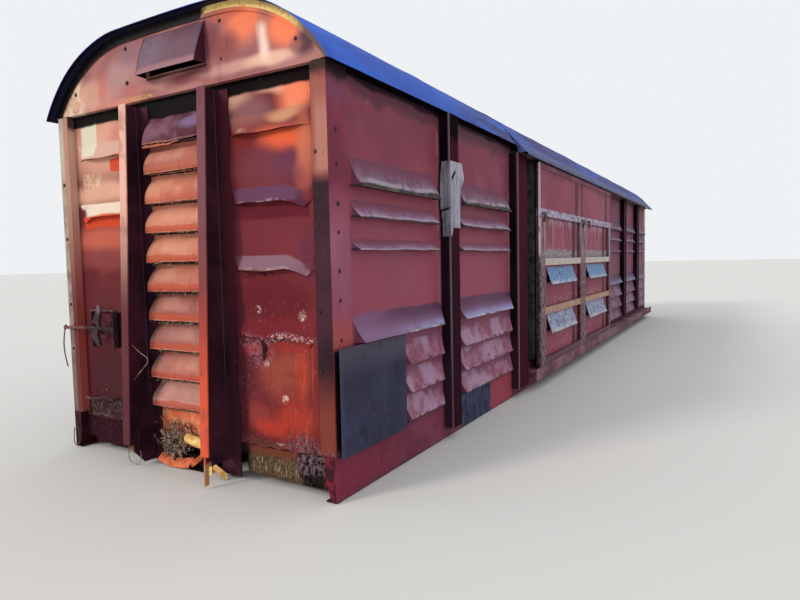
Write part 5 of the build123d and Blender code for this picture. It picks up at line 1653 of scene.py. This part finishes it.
def litter_tree():
    """Geometry Nodes: bent dry stalks lying across every point of the mesh."""
    tree, start = new_tree("dry_litter", (
        ("Stalk length", "Float"), ("Stalk radius", "Float"), ("Seed", "Int"), ("Tilt", "Float"),
    ))
    make = tree.nodes.new
    link = tree.links.new
    bow = make("GeometryNodeCurveArc")
    bow.mode = "POINTS"
    bow.inputs["Resolution"].default_value = 5
    bow.inputs["Start"].default_value = (-0.5, 0, 0)
    bow.inputs["Middle"].default_value = (0.0, 0.10, 0.05)
    bow.inputs["End"].default_value = (0.5, 0, 0)
    ring = make("GeometryNodeCurvePrimitiveCircle")
    ring.inputs["Resolution"].default_value = 3
    radius = math_node(tree, "DIVIDE", start.outputs["Stalk radius"], start.outputs["Stalk length"])
    link(radius, ring.inputs["Radius"])
    tube = make("GeometryNodeCurveToMesh")
    tube.inputs["Fill Caps"].default_value = True
    link(bow.outputs[0], tube.inputs["Curve"])
    link(ring.outputs[0], tube.inputs["Profile Curve"])
    spread = make("GeometryNodeInstanceOnPoints")
    link(start.outputs["Points"], spread.inputs["Points"])
    link(tube.outputs[0], spread.inputs["Instance"])
    turn = make("FunctionNodeRandomValue")
    turn.data_type = "FLOAT_VECTOR"
    link(start.outputs["Seed"], turn.inputs["Seed"])
    low, high = make("ShaderNodeCombineXYZ"), make("ShaderNodeCombineXYZ")
    flip = math_node(tree, "MULTIPLY", start.outputs["Tilt"], -1.0)
    for corner, value in ((low, flip), (high, start.outputs["Tilt"])):
        link(value, corner.inputs[1])
        link(value, corner.inputs[2])
    low.inputs[0].default_value = -3.14
    high.inputs[0].default_value = 3.14
    link(low.outputs[0], turn.inputs["Min"])
    link(high.outputs[0], turn.inputs["Max"])
    upright = make("FunctionNodeRotateEuler")
    upright.rotation_type = "EULER"
    link(turn.outputs["Value"], upright.inputs["Rotation"])
    upright.inputs["Rotate By"].default_value = (0, 0, math.pi / 2)
    link(upright.outputs[0], spread.inputs["Rotation"])
    vary = make("FunctionNodeRandomValue")
    vary.data_type = "FLOAT"
    vary.inputs["Min"].default_value = 0.35
    vary.inputs["Max"].default_value = 1.0
    link(start.outputs["Seed"], vary.inputs["Seed"])
    size = math_node(tree, "MULTIPLY", vary.outputs[1], start.outputs["Stalk length"])
    link(size, spread.inputs["Scale"])
    return realized(tree, start, spread)


def grown(name, points, tree, values):
    """A plain mesh that a Geometry Nodes tree makes on a list of points."""
    seeds = bpy.data.meshes.new(name + "_points")
    seeds.from_pydata([tuple(p) for p in points], [], [])
    holder = new_object(name + "_holder", seeds)
    modifier = holder.modifiers.new("grow", "NODES")
    modifier.node_group = tree
    for item in tree.interface.items_tree:
        if item.item_type == "SOCKET" and item.in_out == "INPUT" and item.name in values:
            modifier[item.identifier] = values[item.name]
    bpy.context.view_layer.update()
    mesh = finished_mesh(holder)
    mesh.name = name
    bpy.data.objects.remove(holder)
    return new_object(name, mesh)


TO_SIDE = (math.pi / 2, 0, 0)
TO_END = (0, -math.pi / 2, 0)


class VAN_OT_fasteners(bpy.types.Operator):
    """Bolts of the corner strips, arch plates, corner posts and stanchions"""

    bl_idname = "van.fasteners"
    bl_label = "Fasteners"

    def execute(self, context):
        tree = bolt_tree()
        dark = rusty_iron("bolt_rust", (74, 48, 42), (26, 20, 22), 0.0008)
        strip = (2.51, 2.28, 2.02, 1.83, 1.57, 1.37, 1.10)
        side_points = [(-6.95, -HALF_WIDTH - 0.001, z) for z in strip]
        side_points += [(6.95, -HALF_WIDTH - 0.001, z) for z in strip]
        end_points = []
        for y, z in ((0.53, 3.38), (0.53, 3.11), (1.22, 3.12)):
            end_points += [(-ARCH_FACE - 0.001, y, z), (-ARCH_FACE - 0.001, -y, z)]
        corner_rows = ((-1.372, 2.36), (-1.372, 1.88), (-1.372, 1.30), (-1.372, 0.90),
                       (1.43, 2.36), (1.43, 1.88), (1.43, 1.30), (1.43, 0.90))
        end_points += [(-END_FACE - 0.001, y, z) for y, z in corner_rows]
        end_points += [(-6.997, s * STANCHION_MIDDLE + d, z) for s in (-1, 1) for d in (-0.08, 0.08)
                       for z in (2.7, 2.1, 1.5, 0.9)]
        groups = (("side", side_points, TO_SIDE), ("end", end_points, TO_END))
        for label, points, turn in groups:
            for side, sign in (("near", 1), ("far", -1)):
                placed = [(sign * x, sign * y, z) for x, y, z in points]
                piece = grown("bolts_%s_%s" % (label, side), placed, tree, {
                    "Head width": sizes().bolt_size, "Head height": sizes().bolt_height,
                    "Turn": turn, "Finish": dark,
                })
                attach(piece, "van_body")
        return {"FINISHED"}


class VAN_OT_litter(bpy.types.Operator):
    """Dry stalks under the end louvres and the nest in the lowest one"""

    bl_idname = "van.litter"
    bl_label = "Litter"

    def execute(self, context):
        tree = litter_tree()
        stalk = dry_stalk()
        spots = random.Random(12)
        points = []
        for row in range(1, 10):
            lip = COLUMN_TOP - row * COLUMN_PITCH
            dense = (0.35, 0.5, 0.9, 0.6, 0.8, 1.1, 1.0, 1.1, 0.7)[row - 1]
            for _ in range(int(sizes().twig_count * dense)):
                y = spots.uniform(-0.30, 0.30)
                x = -END_SHEET - spots.uniform(0.020, 0.070)
                points.append((x, y, lip + spots.uniform(-0.024, 0.002)))
        values = {"Stalk length": sizes().twig_length, "Stalk radius": 0.0019,
                  "Seed": 3, "Tilt": 0.75, "Finish": stalk}
        rows = grown("litter_in_louvres", points, tree, values)
        nest = []
        for _ in range(640):
            y = spots.gauss(0.15, 0.075)
            z = spots.gauss(0.21, 0.055)
            nest.append((-END_SHEET - abs(spots.gauss(0.0, 0.035)) - 0.020, y, max(0.09, z)))
        values.update({"Stalk length": sizes().twig_length * 0.9, "Stalk radius": 0.0026,
                       "Seed": 8, "Tilt": 1.5})
        pile = grown("nest_of_stalks", nest, tree, values)
        for piece in (rows, pile):
            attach(piece, "van_body")
        return {"FINISHED"}


# Small iron and torn sheet


def bent_rod(name, points, radius, material, body="van_body"):
    """A bent round rod through points, as a closed mesh."""
    curve = bpy.data.curves.new(name + "_line", "CURVE")
    curve.dimensions = "3D"
    spline = curve.splines.new("NURBS")
    spline.points.add(len(points) - 1)
    for target, point in zip(spline.points, points):
        target.co = (*point, 1)
    spline.order_u = 3
    spline.use_endpoint_u = True
    curve.resolution_u = 6
    curve.bevel_depth = radius
    curve.bevel_resolution = 2
    curve.use_fill_caps = True
    holder = new_object(name + "_holder", curve)
    mesh = finished_mesh(holder)
    mesh.name = name
    bpy.data.objects.remove(holder)
    piece = clothe(new_object(name, mesh), material)
    soften(mesh, 0.9)
    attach(piece, body)


def curled_sheet(name, rows, thickness, material):
    """A thin torn sheet through rows of points, given its thickness."""
    across = len(rows[0])
    mesh = bpy.data.meshes.new(name)
    faces = []
    for j in range(len(rows) - 1):
        for i in range(across - 1):
            a = j * across + i
            faces.append((a, a + 1, a + across + 1, a + across))
    mesh.from_pydata([tuple(p) for row in rows for p in row], [], faces)
    piece = clothe(new_object(name, mesh), material)
    subdivide = piece.modifiers.new("smooth", "SUBSURF")
    subdivide.levels = subdivide.render_levels = 2
    wall = piece.modifiers.new("wall", "SOLIDIFY")
    wall.thickness = thickness
    wall.offset = 0
    finished = finished_mesh(piece)
    piece.modifiers.clear()
    piece.data = finished
    soften(finished, 0.7)
    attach(piece, "van_body")


class VAN_OT_small_iron(bpy.types.Operator):
    """Bent wires, torn foot of the column, small brackets and latch hooks"""

    bl_idname = "van.small_iron"
    bl_label = "Small iron"

    def execute(self, context):
        # plates that close the slots between the jambs and the doors
        moss = rusty_iron("mossy_jamb", (62, 62, 62), (30, 26, 30), 0.001)
        for side, sign in (("near", 1), ("far", -1)):
            for number, x in enumerate((-2.952, 1.452)):
                wall = [[(sign * x, sign * (-1.462 - 0.0257 * j), 0.36 + 0.305 * i)
                         for j in range(5)] for i in range(9)]
                curled_sheet("jamb_plate_%s_%d" % (side, number), wall, 0.004, moss)
        iron = rusty_iron("bent_rod_rust", (104, 80, 76), (48, 34, 36), 0.0008)
        bright = rusty_iron("pale_wire", (176, 144, 134), (120, 84, 84), 0.0006)
        orange = rusty_iron("torn_primer", (226, 122, 76), (190, 84, 52), 0.001)
        straw = rusty_iron("bleached_curl", (240, 206, 132), (206, 152, 84), 0.001)
        left_line = ((-7.17, 0.455, 1.008), (-7.18, 0.332, 0.940), (-7.17, 0.225, 0.896),
                     (-7.18, 0.322, 0.800), (-7.17, 0.480, 0.682))
        foot_line = ((-7.15, 0.577, 0.13), (-7.15, 0.585, 0.03), (-7.15, 0.53, 0.006),
                     (-7.15, 0.45, 0.008), (-7.15, 0.41, 0.07), (-7.15, 0.43, 0.13))
        hook_line = ((-7.06, 1.43, 0.19), (-7.07, 1.38, 0.15), (-7.07, 1.37, 0.05),
                     (-7.07, 1.43, 0.012), (-7.07, 1.48, 0.03), (-7.06, 1.47, 0.17))
        bent_rod("wire_loop_left", left_line, 0.0030, bright)
        bent_rod("wire_loop_foot", foot_line, 0.0028, bright)
        bent_rod("hook_of_wire", hook_line, 0.004, iron)
        # torn foot of the louvre column, its corner curled outward
        rows = []
        for j, depth in enumerate((0.004, 0.034, 0.060, 0.070, 0.056)):
            line = []
            for i in range(9):
                share = i / 8
                top = 0.096 - 0.030 * math.sin(math.pi * share) + 0.004 * math.sin(i * 2.1)
                line.append((-6.99 - depth - 0.004 * math.sin(i * 1.3 + j), 0.335 - 0.365 * share,
                             max(0.006, top - 0.021 * j + (0.010 if j == 4 else 0.0))))
            rows.append(line)
        curled_sheet("torn_foot", rows, 0.003, orange)
        arm = [[(-7.02 - 0.01 * j, -0.02 - 0.054 * i, 0.010 + 0.040 * i + 0.028 * j - 0.004 * i * j)
                for i in range(5)] for j in range(3)]
        curled_sheet("torn_arm", arm, 0.003, orange)
        # half-round bleached curl lying in the lowest louvre
        curl = []
        for i in range(5):
            share = i / 4
            centre = (-7.045 - 0.02 * share, -0.02 - 0.215 * share, 0.262 - 0.022 * share)
            curl.append([(centre[0] - 0.040 * math.sin(turn), centre[1],
                          centre[2] + 0.040 * math.cos(turn))
                         for turn in (0.0, 0.5, 1.1, 1.7, 2.3, 2.9)])
        curled_sheet("bleached_curl", curl, 0.003, straw)
        strip = [[(-7.150 - 0.004 * j, -0.345 - 0.030 * j, 0.175 - 0.040 * i)
                  for j in range(3)] for i in range(4)]
        curled_sheet("bracket_foot", strip, 0.004, straw)
        chip = [[(-7.05 - 0.01 * j, -0.31 - 0.036 * i, 0.105 - 0.016 * i - 0.022 * j)
                 for j in range(3)] for i in range(5)]
        curled_sheet("curled_chip", chip, 0.003, straw)
        shard = [[(-7.155 - 0.004 * j, 0.492 - 0.012 * i + 0.010 * j, 2.345 - 0.030 * i)
                  for j in range(2)] for i in range(4)]
        curled_sheet("torn_shard", shard, 0.003, iron)
        # latch hooks hang from the doors' first bar
        for side, sign in (("near", 1), ("far", -1)):
            for leaf, x in (("a", -2.86), ("a", -0.80), ("b", -0.42)):
                place = ((x - 0.05, -1.652, 2.165), (x - 0.01, -1.662, 2.19),
                         (x + 0.05, -1.662, 2.18), (x + 0.06, -1.658, 2.12),
                         (x + 0.02, -1.652, 2.08))
                points = [(sign * a, sign * b, c) for a, b, c in place]
                bent_rod("latch_hook_%s_%s_%d" % (side, leaf, round(-x * 100)), points, 0.014, iron,
                         "door_%s_%s" % (side, leaf))
        return {"FINISHED"}


# Stage


SUN_STRENGTH, SUN_SPREAD, SUN_TINT, SUN_HEADING = 1.5, 14, (1.0, 0.95, 0.88), (1.0, -0.55, -0.62)
SKY_TINT, SKY_STRENGTH = (0.93, 0.96, 1.0, 1), 0.95
BACKDROP_TINT = (0.86, 0.88, 0.90, 1)
FLOOR_REACH, FLOOR_HEIGHT = 160, -0.004
# the camera fitted to the photograph: metres, degrees and millimetres
CAMERA_PLACE = (-10.2515, -3.8393, 1.6358)
CAMERA_YAW = 29.992
CAMERA_PITCH = -3.8009
CAMERA_ROLL = -1.1916
CAMERA_LENS = 27.042


def camera_matrix():
    """Where the photograph was taken from, and how the camera was held."""
    yaw, pitch, roll = (math.radians(v) for v in (CAMERA_YAW, CAMERA_PITCH, CAMERA_ROLL))
    flat = math.cos(pitch)
    ahead = Vector((math.cos(yaw) * flat, math.sin(yaw) * flat, math.sin(pitch)))
    level = Vector((math.sin(yaw), -math.cos(yaw), 0))
    upward = level.cross(ahead)
    right = math.cos(roll) * level + math.sin(roll) * upward
    above = -math.sin(roll) * level + math.cos(roll) * upward
    turned = Matrix((right, above, -ahead)).transposed()
    return Matrix.Translation(CAMERA_PLACE) @ turned.to_4x4()


class VAN_OT_stage(bpy.types.Operator):
    """Pale floor, soft lights and the camera"""

    bl_idname = "van.stage"
    bl_label = "Stage"

    def execute(self, context):
        scene = context.scene
        scene.view_settings.view_transform = "Standard"
        mesh = bpy.data.meshes.new("stage_floor")
        corners = ((-1, -1), (1, -1), (1, 1), (-1, 1))
        points = [(x * FLOOR_REACH, y * FLOOR_REACH, FLOOR_HEIGHT) for x, y in corners]
        mesh.from_pydata(points, [], [(0, 1, 2, 3)])
        floor = clothe(new_object("stage_floor", mesh), stage_floor())

        camera = bpy.data.objects.new("camera", bpy.data.cameras.new("camera"))
        scene.collection.objects.link(camera)
        camera.data.sensor_width = 36
        camera.data.lens = CAMERA_LENS
        camera.data.clip_end = 500
        camera.matrix_world = camera_matrix()
        scene.camera = camera

        key = bpy.data.lights.new("key", "SUN")
        key.energy = SUN_STRENGTH
        key.angle = math.radians(SUN_SPREAD)
        key.color = SUN_TINT
        key_object = bpy.data.objects.new("key", key)
        scene.collection.objects.link(key_object)
        key_object.rotation_euler = Vector(SUN_HEADING).to_track_quat("-Z", "Y").to_euler()

        world = bpy.data.worlds.new("studio")
        scene.world = world
        world.use_nodes = True
        tree = world.node_tree
        tree.nodes.clear()
        output = tree.nodes.new("ShaderNodeOutputWorld")
        soft = tree.nodes.new("ShaderNodeBackground")
        soft.inputs["Color"].default_value = SKY_TINT
        soft.inputs["Strength"].default_value = SKY_STRENGTH
        plain = tree.nodes.new("ShaderNodeBackground")
        plain.inputs["Color"].default_value = BACKDROP_TINT
        path = tree.nodes.new("ShaderNodeLightPath")
        seen = math_node(tree, "MAXIMUM", path.outputs["Is Camera Ray"],
                         path.outputs["Is Glossy Ray"])
        seen = math_node(tree, "MAXIMUM", seen, path.outputs["Is Transmission Ray"])
        either = tree.nodes.new("ShaderNodeMixShader")
        tree.links.new(seen, either.inputs[0])
        tree.links.new(soft.outputs[0], either.inputs[1])
        tree.links.new(plain.outputs[0], either.inputs[2])
        tree.links.new(either.outputs[0], output.inputs["Surface"])
        return {"FINISHED"}


class VAN_PT_parts(bpy.types.Panel):
    """The van's pieces, sizes and colours"""

    bl_label = "Louvre van body"
    bl_idname = "VAN_PT_parts"
    bl_space_type = "VIEW_3D"
    bl_region_type = "UI"
    bl_category = "Van"

    def draw(self, context):
        layout = self.layout
        for operator in OPERATORS:
            layout.operator(operator.bl_idname)
        for group in (context.scene.van_sizes, context.scene.van_colours):
            box = layout.box()
            for name in group.__annotations__:
                box.prop(group, name)


OPERATORS = (
    VAN_OT_stage, VAN_OT_side_sheets, VAN_OT_end_sheets, VAN_OT_louvre_column,
    VAN_OT_arch_plates, VAN_OT_roof, VAN_OT_end_iron, VAN_OT_fasteners, VAN_OT_litter,
    VAN_OT_small_iron, VAN_OT_kept_steel,
)
CLASSES = (VanSizes, VanColours, *OPERATORS, VAN_PT_parts)


def register():
    for cls in CLASSES:
        bpy.utils.register_class(cls)
    bpy.types.Scene.van_sizes = PointerProperty(type=VanSizes)
    bpy.types.Scene.van_colours = PointerProperty(type=VanColours)


def unregister():
    del bpy.types.Scene.van_colours
    del bpy.types.Scene.van_sizes
    for cls in reversed(CLASSES):
        bpy.utils.unregister_class(cls)


def main():
    register()
    bpy.ops.van.stage()
    bpy.ops.van.side_sheets()
    bpy.ops.van.end_sheets()
    bpy.ops.van.louvre_column()
    bpy.ops.van.arch_plates()
    bpy.ops.van.roof()
    bpy.ops.van.end_iron()
    bpy.ops.van.fasteners()
    bpy.ops.van.litter()
    bpy.ops.van.small_iron()
    bpy.ops.van.kept_steel()


if __name__ == "__main__":
    main()
